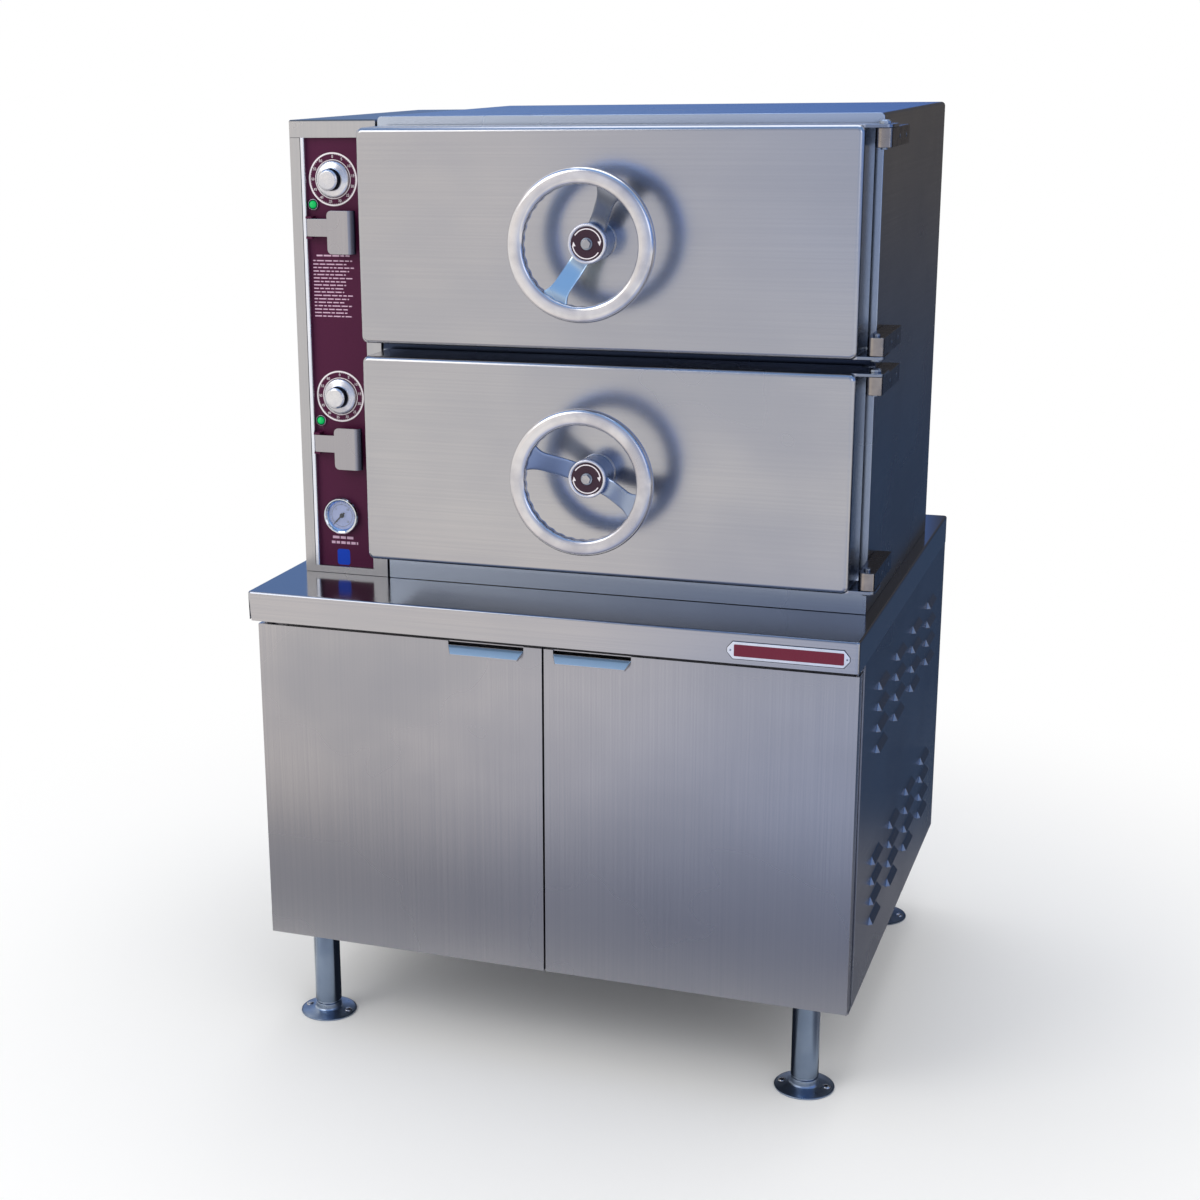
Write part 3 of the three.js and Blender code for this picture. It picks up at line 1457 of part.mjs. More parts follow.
// Steam riser: up from the tank, back and up behind the compartments, with a stub into each
function steamRiser() {
  const tank = tankMiddle();
  const x = doorCentreX;
  const start = tank.z + tankDiameter / 2 + nozzleReach + seatGap;
  const turnZ = start + riserRise;
  const top = upperDoorZ + riserStub;
  const corners = [[x, tank.y, start], [x, tank.y, turnZ], [x, riserY, turnZ], [x, riserY, top]];
  const path = bentPath(corners, riserBend);
  const parts = [pipe(path, riserPipe)];
  const stubFront = doorFront + mouthFace + compartmentDepth - compartmentWall;
  for (const z of [lowerDoorZ, upperDoorZ]) {
    const at = new THREE.Vector3(x, 0, z);
    parts.push(rod(riserStub, "y", at, stubFront, riserY, pipeSides));
  }
  return join(parts);
}

// Drain line: down behind the compartments with a stub from each, then out through the back
function drainLine() {
  const x = doorCentreX - drainOffset;
  const lowZ = lowerDoorZ - mouthHeight / 2 + drainLift;
  const highZ = upperDoorZ - mouthHeight / 2 + drainLift;
  const outZ = legHeight + drainHoleHeight;
  const top = highZ + drainStub;
  const path = bentPath([[x, riserY, top], [x, riserY, outZ], [x, cabinetBack, outZ]], riserBend);
  const parts = [pipe(path, drainPipe)];
  const stubFront = doorFront + mouthFace + compartmentDepth - compartmentWall;
  for (const z of [lowZ, highZ]) {
    const at = new THREE.Vector3(x, 0, z);
    parts.push(rod(drainStub, "y", at, stubFront, riserY, pipeSides));
  }
  return join(parts);
}

// Relief valve: a waisted body with a stem on the tank's second nozzle
function reliefValve() {
  const body = valveBody / 2;
  const waist = body * valveWaistShare;
  const stem = valveStem / 2;
  const top = valveHeight;
  const [base, waistLow, waistHigh, cap, shoulder] = valveStepShares.map((share) => share * top);
  const profile = [
    [0, 0],
    [body, 0],
    [body, base],
    [waist, waistLow],
    [waist, waistHigh],
    [body, cap],
    [body, shoulder],
    [stem, top],
    [stem, top + valveStemHeight],
    [0, top + valveStemHeight],
  ];
  return turned(profile, "z", new THREE.Vector3(), rodSides);
}

// Puts a mesh or group at a place and adds it to its parent
function place(parent, child, x, y, z) {
  child.position.set(x, y, z);
  parent.add(child);
  return child;
}

// The cabinet, its counter, legs and feet
function cabinetAssembly() {
  const group = new THREE.Group();
  group.add(piece("counter_top", counterTop(), stainless));
  group.add(piece("cabinet_side_left", cabinetSide(-1), stainless));
  group.add(piece("cabinet_side_right", cabinetSide(1), stainless));
  group.add(piece("cabinet_back", cabinetBackPanel(), stainless));
  group.add(piece("cabinet_floor", cabinetFloor(), stainless));
  group.add(piece("cabinet_front_frame", cabinetFrontFrame(), stainless));
  group.add(piece("cabinet_door_left", cabinetDoor(-1), stainless));
  group.add(piece("cabinet_door_right", cabinetDoor(1), stainless));
  const legX = halfCounter - legInsetX;
  const corners = [
    ["front_left", -legX, legInsetY],
    ["front_right", legX, legInsetY],
    ["back_left", -legX, counterDepth - legInsetY],
    ["back_right", legX, counterDepth - legInsetY],
  ];
  for (const [corner, x, y] of corners) {
    place(group, piece("leg_" + corner, leg(), brightStainless), x, y, 0);
    place(group, piece("foot_" + corner, foot(), steel), x, y, 0);
  }
  const tank = tankMiddle();
  place(group, piece("steam_generator", steamGenerator(), greyPaint), doorCentreX, tank.y, tank.z);
  group.add(piece("steam_riser", steamRiser(), brass));
  group.add(piece("drain_line", drainLine(), brass));
  const valveZ = tank.z + tankDiameter / 2 + nozzleReach + seatGap;
  place(group, piece("relief_valve", reliefValve(), brass), doorCentreX - valveOffset, tank.y, valveZ);
  return group;
}

// One compartment's door with everything that it carries, and its blocks on the body
function doorAssembly(level, turn) {
  const group = new THREE.Group();
  group.add(piece("door_" + level, compartmentDoor(), stainless));
  group.add(piece("liner_" + level, liner(), brightStainless));
  group.add(piece("gasket_" + level, gasket(), rubber));
  group.add(piece("wheel_" + level, wheel(turn), wheelMetal));
  group.add(piece("spindle_" + level, spindleSolid(), steel));
  group.add(piece("latch_bolt_" + level + "_left", latchBolt(-1, boltReachLeft), steel));
  group.add(piece("latch_bolt_" + level + "_right", latchBolt(1, boltReachRight), steel));
  for (const [end, side] of [["bottom", -1], ["top", 1]]) {
    group.add(piece("hinge_pin_" + level + "_" + end, hingePinSolid(side), steel));
    group.add(piece("hinge_block_" + level + "_" + end, hingeBlock(side), brightStainless));
  }
  group.add(piece("compartment_" + level, compartment(), brightStainless));
  return group;
}

// The steamer body with its two doors
function bodyAssembly() {
  const group = new THREE.Group();
  group.add(piece("body_shell", bodyShell(), stainless));
  group.add(piece("body_front_frame", bodyFrontFrame(), stainless));
  group.add(piece("insulation_jacket", insulationJacket(), wool));
  place(group, doorAssembly("upper", upperWheelTurn), doorCentreX, doorFront, upperDoorZ);
  place(group, doorAssembly("lower", lowerWheelTurn), doorCentreX, doorFront, lowerDoorZ);
  return group;
}

// The control column with its panel and instruments
function columnAssembly() {
  const group = new THREE.Group();
  group.add(piece("column_shell", columnShell(), stainless));
  group.add(piece("control_panel", controlPanel(), panelPaint));
  const middle = windowMiddle();
  const lampX = -columnWidth / 2 + windowLeftStrip + lampInset;
  const sets = [
    ["upper", upperDialHeight, upperLampHeight, upperLeverHeight],
    ["lower", lowerDialHeight, lowerLampHeight, lowerLeverHeight],
  ];
  for (const [level, dialZ, lampZ, leverZ] of sets) {
    place(group, piece("timer_body_" + level, timerBody(), blackPlastic), middle + dialOffsetX, 0, dialZ);
    place(group, piece("knob_" + level, knob(), wheelMetal), middle + dialOffsetX, 0, dialZ);
    place(group, piece("pilot_light_" + level, pilotLight(), greenLens), lampX, 0, lampZ);
    place(group, piece("lever_" + level, lever(), brightStainless), 0, 0, leverZ);
  }
  const gaugeX = middle + gaugeOffsetX;
  place(group, piece("gauge_case", gaugeCase(), chrome), gaugeX, 0, gaugeHeight);
  place(group, piece("gauge_lens", gaugeLens(), glass), gaugeX, 0, gaugeHeight);
  const needle = place(group, piece("gauge_needle", gaugeNeedle(), blackPlastic), gaugeX, 0, gaugeHeight);
  needle.rotation.y = THREE.MathUtils.degToRad(needleTurn);
  return group;
}

const frontMost = doorFront - wheelRimReach - wheelRimDepth / 2;
const steamer = new THREE.Group();
steamer.position.y = -(frontMost + counterDepth) / 2;
steamer.add(cabinetAssembly());
steamer.add(bodyAssembly());
const columnX = bodyLeft - columnGap - columnWidth / 2;
place(steamer, columnAssembly(), columnX, bodyFront + columnSetBack, counterHeight);

export default steamer;
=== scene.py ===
import json
import math

import bmesh
import bpy
import numpy as np
from mathutils import Matrix, Vector


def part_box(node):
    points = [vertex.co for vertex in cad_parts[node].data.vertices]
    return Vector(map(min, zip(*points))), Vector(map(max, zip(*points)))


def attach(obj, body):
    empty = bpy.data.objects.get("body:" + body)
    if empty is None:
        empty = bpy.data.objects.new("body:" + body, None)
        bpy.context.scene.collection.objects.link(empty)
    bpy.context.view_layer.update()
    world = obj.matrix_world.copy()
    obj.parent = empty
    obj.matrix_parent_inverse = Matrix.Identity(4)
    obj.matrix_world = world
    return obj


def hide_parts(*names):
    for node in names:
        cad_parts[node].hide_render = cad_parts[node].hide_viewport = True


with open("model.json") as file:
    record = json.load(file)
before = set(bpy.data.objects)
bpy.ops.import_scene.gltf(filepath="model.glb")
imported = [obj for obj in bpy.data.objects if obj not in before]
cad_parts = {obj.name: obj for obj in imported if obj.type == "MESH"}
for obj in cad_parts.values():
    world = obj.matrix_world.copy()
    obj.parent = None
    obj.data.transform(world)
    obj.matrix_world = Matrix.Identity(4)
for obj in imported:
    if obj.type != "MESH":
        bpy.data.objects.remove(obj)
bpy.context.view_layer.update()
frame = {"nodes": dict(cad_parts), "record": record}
print("frame loaded")

mm = 0.001
levels = ("upper", "lower")
record = frame["record"]
bodyOf = {node: body for body, nodes in record["behaviour"]["bodies"].items() for node in nodes}


# Colours and material nodes

def toLinear(hexCode):
    # each sRGB channel is undone: a straight part near black, then a 2.4 power
    channels = np.array([int(hexCode[i:i + 2], 16) for i in (1, 3, 5)]) / 255
    bright = ((channels + 0.055) / 1.055) ** 2.4
    return tuple(np.where(channels < 0.04045, channels / 12.92, bright)) + (1.0,)


def addNode(material, kind, settings=None, links=None):
    # settings are properties or socket values, links are sockets by name or number
    node = material.node_tree.nodes.new(kind)
    for key, value in (settings or {}).items():
        if isinstance(key, int) or key in node.inputs:
            node.inputs[key].default_value = value
        else:
            setattr(node, key, value)
    for key, source in (links or {}).items():
        material.node_tree.links.new(source, node.inputs[key])
    return node


def link(material, source, node, socket):
    # the source is a socket, or the hex code of a tone
    if isinstance(source, str):
        node.inputs[socket].default_value = toLinear(source)
    else:
        material.node_tree.links.new(source, node.inputs[socket])


def newMaterial(name, sockets):
    # a Principled surface with its plain sockets set, and Object coordinates at hand
    material = bpy.data.materials.new(name)
    material.use_nodes = True
    surface = material.node_tree.nodes["Principled BSDF"]
    for key, value in sockets.items():
        surface.inputs[key].default_value = value
    place = addNode(material, "ShaderNodeTexCoord").outputs["Object"]
    return material, surface, place


def noiseAt(material, place, stretch, detail):
    # noise whose cells are 1 / stretch metres along each axis
    spread = addNode(material, "ShaderNodeMapping", {"Scale": stretch}, {"Vector": place})
    settings = {"Scale": 1.0, "Detail": detail, "Roughness": 0.55}
    links = {"Vector": spread.outputs[0]}
    return addNode(material, "ShaderNodeTexNoise", settings, links).outputs[0]


def smoothShare(material, value, start, end, low=0.0, high=1.0):
    # low before the start, high after the end and a soft step between
    settings = {
        "From Min": start, "From Max": end, "To Min": low, "To Max": high,
        "interpolation_type": "SMOOTHSTEP",
    }
    return addNode(material, "ShaderNodeMapRange", settings, {"Value": value}).outputs[0]


def spreadTo(material, noise, low, high):
    # maps the middle of a noise to a wanted span, with soft ends
    return smoothShare(material, noise, 0.3, 0.7, low, high)


def blendTones(material, factor, first, second, how="MIX"):
    # blends two tones, each a hex code or a socket
    settings = {"data_type": "RGBA", "blend_type": how}
    node = addNode(material, "ShaderNodeMix", settings, {0: factor})
    link(material, first, node, 6)
    link(material, second, node, 7)
    return node.outputs[2]


def fadeTone(material, place, tone, name):
    # beyond each plane listed for the finish its tone turns to another: painted shade, shadow and
    # reflection
    along = addNode(material, "ShaderNodeSeparateXYZ", None, {0: place}).outputs
    for axis, start, end, other in paintedLightBands.get(name, []):
        share = smoothShare(material, along[axis], start, end)
        tone = blendTones(material, share, tone, other)
    return tone


def bump(material, surface, height, strength, distance):
    settings = {"Strength": strength, "Distance": distance}
    node = addNode(material, "ShaderNodeBump", settings, {"Height": height})
    link(material, node.outputs[0], surface, "Normal")


# Grain runs along one axis: lines are 0.4 mm apart on real sheet, drawn 2.5 mm apart here
grainStretch = {"x": (2.0, 30.0, 420.0), "y": (420.0, 2.0, 420.0), "z": (420.0, 30.0, 2.0)}
cloudStretch = (2.4, 2.4, 3.2)


def brushedSheet(name, look):
    # stainless sheet, belt brushed: long fine lines, soft clouds and a dull sheen
    material, surface, place = newMaterial(name, {"Metallic": 1.0})
    lines = noiseAt(material, place, grainStretch[look["grain"]], 2.0)
    clouds = noiseAt(material, place, cloudStretch, 3.0)
    lineShare = spreadTo(material, lines, 0.0, look["lines"])
    tone = blendTones(material, lineShare, look["tone"], look["shade"])
    cloudShare = spreadTo(material, clouds, 0.0, look["clouds"])
    tone = blendTones(material, cloudShare, tone, look["shade"])
    link(material, fadeTone(material, place, tone, name), surface, "Base Color")
    rough = look["roughness"]
    link(material, spreadTo(material, clouds, rough - 0.04, rough + 0.06), surface, "Roughness")
    bump(material, surface, lines, look["bump"], distance=0.0004)
    return material


def castMetal(name, look):
    # smooth metal with small clouds in its polish
    material, surface, place = newMaterial(name, {"Metallic": 1.0})
    clouds = noiseAt(material, place, (look["size"],) * 3, 3.0)
    tone = blendTones(material, spreadTo(material, clouds, 0.0, 1.0), look["tone"], look["shade"])
    link(material, fadeTone(material, place, tone, name), surface, "Base Color")
    rough = look["roughness"]
    link(material, spreadTo(material, clouds, rough * 0.8, rough * 1.25), surface, "Roughness")
    bump(material, surface, clouds, look["bump"], distance=0.0005)
    return material


def coatedFace(name, look):
    # paint, plastic, rubber or ink: a body colour with fine grit in its gloss
    sockets = {"IOR": 1.5, "Specular IOR Level": look["specular"]}
    material, surface, place = newMaterial(name, sockets)
    grit = noiseAt(material, place, (look["grit"],) * 3, 2.0)
    tone = blendTones(material, spreadTo(material, grit, 0.0, 1.0), look["tone"], look["shade"])
    link(material, tone, surface, "Base Color")
    rough = look["roughness"]
    link(material, spreadTo(material, grit, rough * 0.85, rough * 1.15), surface, "Roughness")
    bump(material, surface, grit, look["bump"], distance=0.0003)
    return material


def greenLens(name):
    # polycarbonate lamp lens lit from behind: a clear green with a small glow of its own
    sockets = {"Roughness": 0.2, "IOR": 1.58, "Emission Strength": 0.3, "Specular IOR Level": 0.25}
    material, surface, place = newMaterial(name, sockets)
    link(material, "#12D66B", surface, "Emission Color")
    facets = noiseAt(material, place, (900.0,) * 3, 1.0)
    tone = blendTones(material, spreadTo(material, facets, 0.0, 1.0), "#0FB45A", "#098C46")
    link(material, tone, surface, "Base Color")
    bump(material, surface, facets, 0.15, distance=0.0004)
    return material


def clearGlass(name):
    # flat gauge glass: nearly all of the light goes through, a little gloss stays
    sockets = {"Roughness": 0.02, "IOR": 1.45, "Transmission Weight": 1.0}
    material, surface, place = newMaterial(name, sockets)
    dust = noiseAt(material, place, (300.0,) * 3, 2.0)
    tone = blendTones(material, spreadTo(material, dust, 0.0, 1.0), "#FFFFFF", "#F4F8FB")
    link(material, tone, surface, "Base Color")
    return material


def planeOf(node, end, axis):
    # where a node ends along an axis: end 0 is its low corner, end 1 its high one
    return float(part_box(node)[end][axis])


# Planes beyond which a finish turns to another tone, as painted shade, shadow and reflection
doorWidth = 0.7093  # without the hinge ears beside it
doorRight = planeOf("door_upper", 0, 0) + doorWidth
gapLow, gapHigh = planeOf("door_lower", 1, 2), planeOf("door_upper", 0, 2)
counterTop, bodyTop = planeOf("counter_top", 1, 2), planeOf("body_shell", 1, 2)
columnTop, sidePlane = planeOf("column_shell", 1, 2), planeOf("cabinet_floor", 1, 0)
leverEdge = planeOf("lever_upper", 1, 0)
blockFront, wheelFront = planeOf("hinge_block_upper_top", 0, 1), planeOf("wheel_upper", 0, 1)

# Each sheet: the axis of its grain, tone, shade, shares of lines and clouds, roughness and bump
sheetKeys = ("grain", "tone", "shade", "lines", "clouds", "roughness", "bump")
sheetLooks = {
    "doorSheet": ("x", "#BDBAB9", "#A5A5AA", 0.22, 0.6, 0.22, 0.06),
    "cabinetDoorSheet": ("z", "#BCB9B8", "#A0A0A5", 0.3, 0.7, 0.26, 0.06),
    "frameSheet": ("x", "#B9C2CF", "#A8B1BF", 0.3, 0.5, 0.24, 0.05),
    "counterSheet": ("x", "#BDBBBB", "#ADADB1", 0.4, 0.4, 0.13, 0.05),
    "sideSheet": ("y", "#A5A6AA", "#83868F", 0.4, 0.6, 0.24, 0.06),
    "columnSheet": ("z", "#BFBCBA", "#A6A7AB", 0.2, 0.4, 0.26, 0.03),
    "innerSheet": ("x", "#C9C9C8", "#AEB0B4", 0.3, 0.4, 0.22, 0.05),
    "leverSheet": ("z", "#B3AFAF", "#A09DA1", 0.3, 0.5, 0.24, 0.04),
}
# Each metal: tone, shade, clouds to a metre, roughness and bump
metalKeys = ("tone", "shade", "size", "roughness", "bump")
metalLooks = {
    "polishedAluminium": ("#E0DCDB", "#BDBABD", 16.0, 0.22, 0.0),
    # a lit copy of the column's stainless, far lighter: painted highlight on the window lip
    "lipPaintedHighlight": ("#EEF0F6", "#E6E9F2", 20.0, 0.22, 0.0),
    "hubCasting": ("#DEDCE0", "#D0CFD6", 20.0, 0.28, 0.0),
    "spokePlate": ("#98A3B8", "#8F9BB1", 12.0, 0.26, 0.0),
    # lit and shaded copies of the spoke metal for the upper wheel: a painted sky reflection and a
    # painted shade
    "spokePaintedSkyReflection": ("#D2E0E2", "#C6D4D8", 12.0, 0.26, 0.0),
    "spokePaintedShade": ("#868B95", "#7D828C", 12.0, 0.3, 0.0),
    "spunAluminium": ("#DEDCDC", "#CFCED2", 60.0, 0.24, 0.01),
    "turnedSteel": ("#9FA6B0", "#8B939F", 60.0, 0.3, 0.02),
    # the tubes' steel tone tinted blue: partly a painted sky reflection
    "legTube": ("#8896AA", "#78879D", 14.0, 0.12, 0.01),
    "hingeSteel": ("#9A928D", "#8A837F", 60.0, 0.24, 0.0),
    "boltSteel": ("#B9B6B6", "#A8A6A7", 60.0, 0.26, 0.0),
    # the cast feet's tone tinted blue: partly a painted sky reflection
    "footCasting": ("#98A4B4", "#8894A6", 60.0, 0.34, 0.02),
    "plateMetal": ("#F2F3F5", "#E2E4E8", 50.0, 0.2, 0.0),
    "chromeTrim": ("#DADCDF", "#CDD0D4", 80.0, 0.08, 0.01),
    # chrome tinted sky blue: painted reflection on the gauge's inner rim
    "chromePaintedSkyReflection": ("#8FC2FF", "#7DB2F8", 80.0, 0.22, 0.0),
    "brassPipe": ("#B7924A", "#96743A", 90.0, 0.34, 0.05),
}
# Each coat: tone, shade, grains of its grit to a metre, roughness, specular level and bump
faceKeys = ("tone", "shade", "grit", "roughness", "specular", "bump")
faceLooks = {
    "maroonEnamel": ("#521C3C", "#481535", 900.0, 0.34, 0.14, 0.02),
    "blackMoulding": ("#1C2030", "#151824", 1200.0, 0.5, 0.2, 0.08),
    # a dull light-blue coat on the doors' steel tabs: painted sky reflection
    "tabPaintedSkyReflection": ("#8FB0D6", "#85A7CE", 1500.0, 0.45, 0.4, 0.0),
    "badgeInk": ("#3A2030", "#321A29", 900.0, 0.3, 0.3, 0.02),
    "knurledNylon": ("#141A2C", "#0D111E", 1200.0, 0.6, 0.08, 0.08),
    "badgeRed": ("#6E2036", "#641B30", 900.0, 0.3, 0.25, 0.02),
    "whiteInk": ("#F1EBEE", "#E4DCE1", 1500.0, 0.5, 0.5, 0.02),
    "pinkInk": ("#DDB9D0", "#C9A2BC", 1500.0, 0.5, 0.5, 0.02),
    "blueInk": ("#0F46C4", "#0D3DB4", 1200.0, 0.4, 0.2, 0.02),
    # the card's pale tone tinted blue: partly a painted reflection of the glass
    "gaugeFace": ("#CBD3FA", "#BDC8F6", 900.0, 0.45, 0.5, 0.02),
    "siliconeGasket": ("#2C2A2B", "#232122", 700.0, 0.75, 0.5, 0.08),
    "rockWool": ("#C9B98A", "#A8966A", 260.0, 0.95, 0.5, 0.6),
    "tankPaint": ("#72777B", "#63686C", 500.0, 0.5, 0.5, 0.08),
}
# Each band of painted shade, shadow and reflection: the axis, where the tone starts and ends to
# turn along it, and the tone beyond
paintedLightBands = {
    # the doors' rolled right edge and side turn darker: painted shade
    "doorSheet": [(0, doorRight - 0.002, doorRight - 0.0004, "#8A909C")],
    # the frame between the lower and the upper door turns dark: painted shadow; above the upper
    # door it has its own tone again
    "frameSheet": [(2, gapLow - 0.004, gapLow - 0.001, "#343C4E"),
                   (2, gapHigh + 0.001, gapHigh + 0.004, "#B9C2CF")],
    # the counter's top face turns darker: painted reflection
    "counterSheet": [(2, counterTop - 0.004, counterTop - 0.001, "#8F9198")],
    # the body's top face turns blue: painted sky reflection
    "sideSheet": [(2, bodyTop - 0.005, bodyTop - 0.001, "#667898"),
                  # the louvre hoods proud of the right cabinet side turn warm and light: painted
                  # warm reflection and highlight
                  (0, sidePlane + 0.002, sidePlane + 0.004, "#B4A49C")],
    # the column's top face turns dark blue-grey: painted reflection
    "columnSheet": [(2, columnTop - 0.003, columnTop - 0.001, "#4C5868")],
    # the lever paddle's rolled right edge turns dark: painted shade
    "leverSheet": [(0, leverEdge - 0.010, leverEdge - 0.001, "#50556A")],
    # the rim's back half turns blue: painted sky reflection
    "polishedAluminium": [(1, wheelFront + 0.007, wheelFront + 0.013, "#9CBCF0")],
    # the hub behind its lip turns dark blue: painted shade
    "hubCasting": [(1, wheelFront + 0.0355, wheelFront + 0.039, "#8197BC")],
    # each hinge block behind its front face turns dark: painted shade, the front stays lit
    "hingeSteel": [(1, blockFront + 0.001, blockFront + 0.004, "#56545A")],
}

finish = {"greenLens": greenLens("greenLens"), "clearGlass": clearGlass("clearGlass")}
makers = (
    (brushedSheet, sheetKeys, sheetLooks), (castMetal, metalKeys, metalLooks),
    (coatedFace, faceKeys, faceLooks),
)
for make, keys, looks in makers:
    for name, row in looks.items():
        finish[name] = make(name, dict(zip(keys, row)))
print("finishes made:", len(finish))


# Making and placing pieces: profiles and outlines are in millimetres, centres in metres

def addObject(name, data):
    piece = bpy.data.objects.new(name, data)
    bpy.context.scene.collection.objects.link(piece)
    return piece


def settle(piece, body, material, replaced=()):
    # gives a piece its finish, its body and the nodes that it stands for
    piece.data.materials.clear()
    piece.data.materials.append(finish[material])
    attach(piece, body)
    if replaced:
        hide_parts(*replaced)
    return piece


def smoothObject(name, mesh, smoothAngle):
    # faces that meet at less than the angle are shaded as one round
    mesh.shade_smooth()
    mesh.set_sharp_from_angle(angle=math.radians(smoothAngle))
    return addObject(name, mesh)


def meshPiece(name, points, faces, smoothAngle=35):
    # points and faces become a mesh with closed seams, outward faces and smooth rounds
    mesh = bpy.data.meshes.new(name)
    mesh.from_pydata(points.tolist(), [], faces)
    work = bmesh.new()
    work.from_mesh(mesh)
    bmesh.ops.remove_doubles(work, verts=work.verts, dist=1e-6)
    bmesh.ops.recalc_face_normals(work, faces=work.faces)
    work.to_mesh(mesh)
    work.free()
    return smoothObject(name, mesh, smoothAngle)


def joinedPiece(name, parts, smoothAngle=35):
    # several closed shells kept in one mesh
    points = np.concatenate([each for each, _ in parts])
    faces = []
    first = 0
    for each, partFaces in parts:
        faces += [[index + first for index in face] for face in partFaces]
        first += len(each)
    return meshPiece(name, points, faces, smoothAngle)


def gridFaces(rows, columns):
    # quads between neighbouring rows and columns, the last column joined to the first
    i, j = np.meshgrid(np.arange(rows - 1), np.arange(columns), indexing="ij")
    k = (j + 1) % columns
    low, high = i * columns, (i + 1) * columns
    return np.stack([low + j, low + k, high + k, high + j], axis=-1).reshape(-1, 4).tolist()


def cappedFaces(rows, columns):
    # a tube of quads, closed by one face at each end
    first, last = range(columns), range((rows - 1) * columns, rows * columns)
    return gridFaces(rows, columns) + [list(first), list(last)]


# For each axis of turning: the two directions across it and the one along it
axisFrames = {
    "x": np.array([[0, 1.0, 0], [0, 0, 1.0], [1.0, 0, 0]]),
    "y": np.array([[1.0, 0, 0], [0, 0, 1.0], [0, 1.0, 0]]),
    "z": np.array([[1.0, 0, 0], [0, 1.0, 0], [0, 0, 1.0]]),
}


def turnedGrid(profile, centre, sides, axis="y", ripple=None):
    # each profile row (radius, distance) goes once round the axis:
    # centre + radius on the circle + distance along
    profile = np.asarray(profile, float) * mm
    first, second, along = axisFrames[axis]
    angle = np.linspace(0, 2 * np.pi, sides, endpoint=False)
    radius = profile[:, 0][:, None] * np.ones(sides)
    if ripple is not None:
        rows, count, depth = ripple
        radius[rows] += depth * mm * np.cos(count * angle)
    circle = np.cos(angle)[None, :, None] * first + np.sin(angle)[None, :, None] * second
    points = np.asarray(centre) + radius[..., None] * circle
    points = points + profile[:, 1][:, None, None] * along
    return points.reshape(-1, 3), gridFaces(len(profile), sides)


def turnedPiece(name, profile, centre, sides, axis="y", ripple=None):
    return meshPiece(name, *turnedGrid(profile, centre, sides, axis, ripple))


def flatRing(inner, outer, front, back, centre, sides):
    # a closed ring between two radii and two depths
    profile = [(inner, back), (inner, front), (outer, front), (outer, back), (inner, back)]
    return turnedGrid(profile, centre, sides)


def rounded(profile, radius, steps=4):
    # each inner corner of a profile is cut back and joined by a short quadratic curve,
    # which takes up less than half of the edges beside it
    edgeParts = 2.2
    profile = np.asarray(profile, float)
    out = [profile[0]]
    for before, corner, after in zip(profile[:-2], profile[1:-1], profile[2:]):
        lengthIn, lengthOut = np.linalg.norm(before - corner), np.linalg.norm(after - corner)
        start = corner + (before - corner) / lengthIn * min(radius, lengthIn / edgeParts)
        end = corner + (after - corner) / lengthOut * min(radius, lengthOut / edgeParts)
        for t in np.linspace(0, 1, steps):
            out.append((1 - t) ** 2 * start + 2 * t * (1 - t) * corner + t ** 2 * end)
    out.append(profile[-1])
    return np.array(out)


def slab(outline, front, back, centre=(0.0, 0.0, 0.0)):
    # an outline in x and z round a centre, drawn from its front to its back along y
    outline = np.asarray(outline, float) * mm + [centre[0], centre[2]]
    count = len(outline)
    depth = np.repeat([front * mm, back * mm], count)
    points = np.stack([np.tile(outline[:, 0], 2), depth, np.tile(outline[:, 1], 2)], axis=-1)
    return points, cappedFaces(2, count)


def circlePoints(angles):
    return np.stack([np.cos(angles), np.sin(angles)], axis=-1)


def softRectangle(halfWide, halfTall, radius, steps):
    # an outline with a quarter circle round each of its four inner corners
    quarter = np.linspace(0, np.pi / 2, steps)
    signs = [(1, 1), (-1, 1), (-1, -1), (1, -1)]
    return np.concatenate([
        circlePoints(quarter + number * np.pi / 2) * radius + np.array(sign) * [halfWide, halfTall]
        for number, sign in enumerate(signs)
    ])


def manyBoxes(name, centres, halves, turns):
    # small boxes in one mesh: each is turned about y by its angle and moved to its centre
    corners = [(x, y, z) for x in (-1, 1) for y in (-1, 1) for z in (-1, 1)]
    quads = np.array([
        (0, 1, 3, 2), (4, 6, 7, 5), (0, 4, 5, 1), (2, 3, 7, 6), (0, 2, 6, 4), (1, 5, 7, 3),
    ])
    centres, halves, turns = np.asarray(centres), np.asarray(halves), np.asarray(turns)
    local = np.array(corners, float)[None] * halves[:, None, :]
    c, s = np.cos(turns)[:, None], np.sin(turns)[:, None]
    points = np.stack([
        local[..., 0] * c + local[..., 2] * s,
        local[..., 1],
        -local[..., 0] * s + local[..., 2] * c,
    ], axis=-1) + centres[:, None, :]
    faces = quads[None] + len(corners) * np.arange(len(centres))[:, None, None]
    return meshPiece(name, points.reshape(-1, 3), faces.reshape(-1, 4).tolist())


def oneBox(name, centre, half):
    # centre and half sizes in millimetres
    return manyBoxes(name, [np.array(centre) * mm], [np.array(half) * mm], [0.0])


def addBevel(piece, width, angle=40):
    edge = piece.modifiers.new("edge", "BEVEL")
    edge.width = width * mm
    edge.segments = 2
    edge.limit_method = "ANGLE"
    edge.angle_limit = math.radians(angle)
    edge.harden_normals = True
    return piece


def domedHead(name, at, axis, way, radius, height):
    # a screw's or rivet's head: its height falls with the cosine, from the pole to the rim
    turn = np.linspace(0, np.pi / 2, 8)
    dome = np.stack([radius * np.sin(turn), way * height * np.cos(turn)], axis=-1)
    foot = -way * 0.3
    return turnedPiece(name, np.concatenate([dome, [(radius, foot), (0, foot)]]), at, 32, axis)


def axisOf(node):
    # the line along y that a turned node is centred on
    low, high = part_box(node)
    return ((low[0] + high[0]) / 2, 0.0, (low[2] + high[2]) / 2)


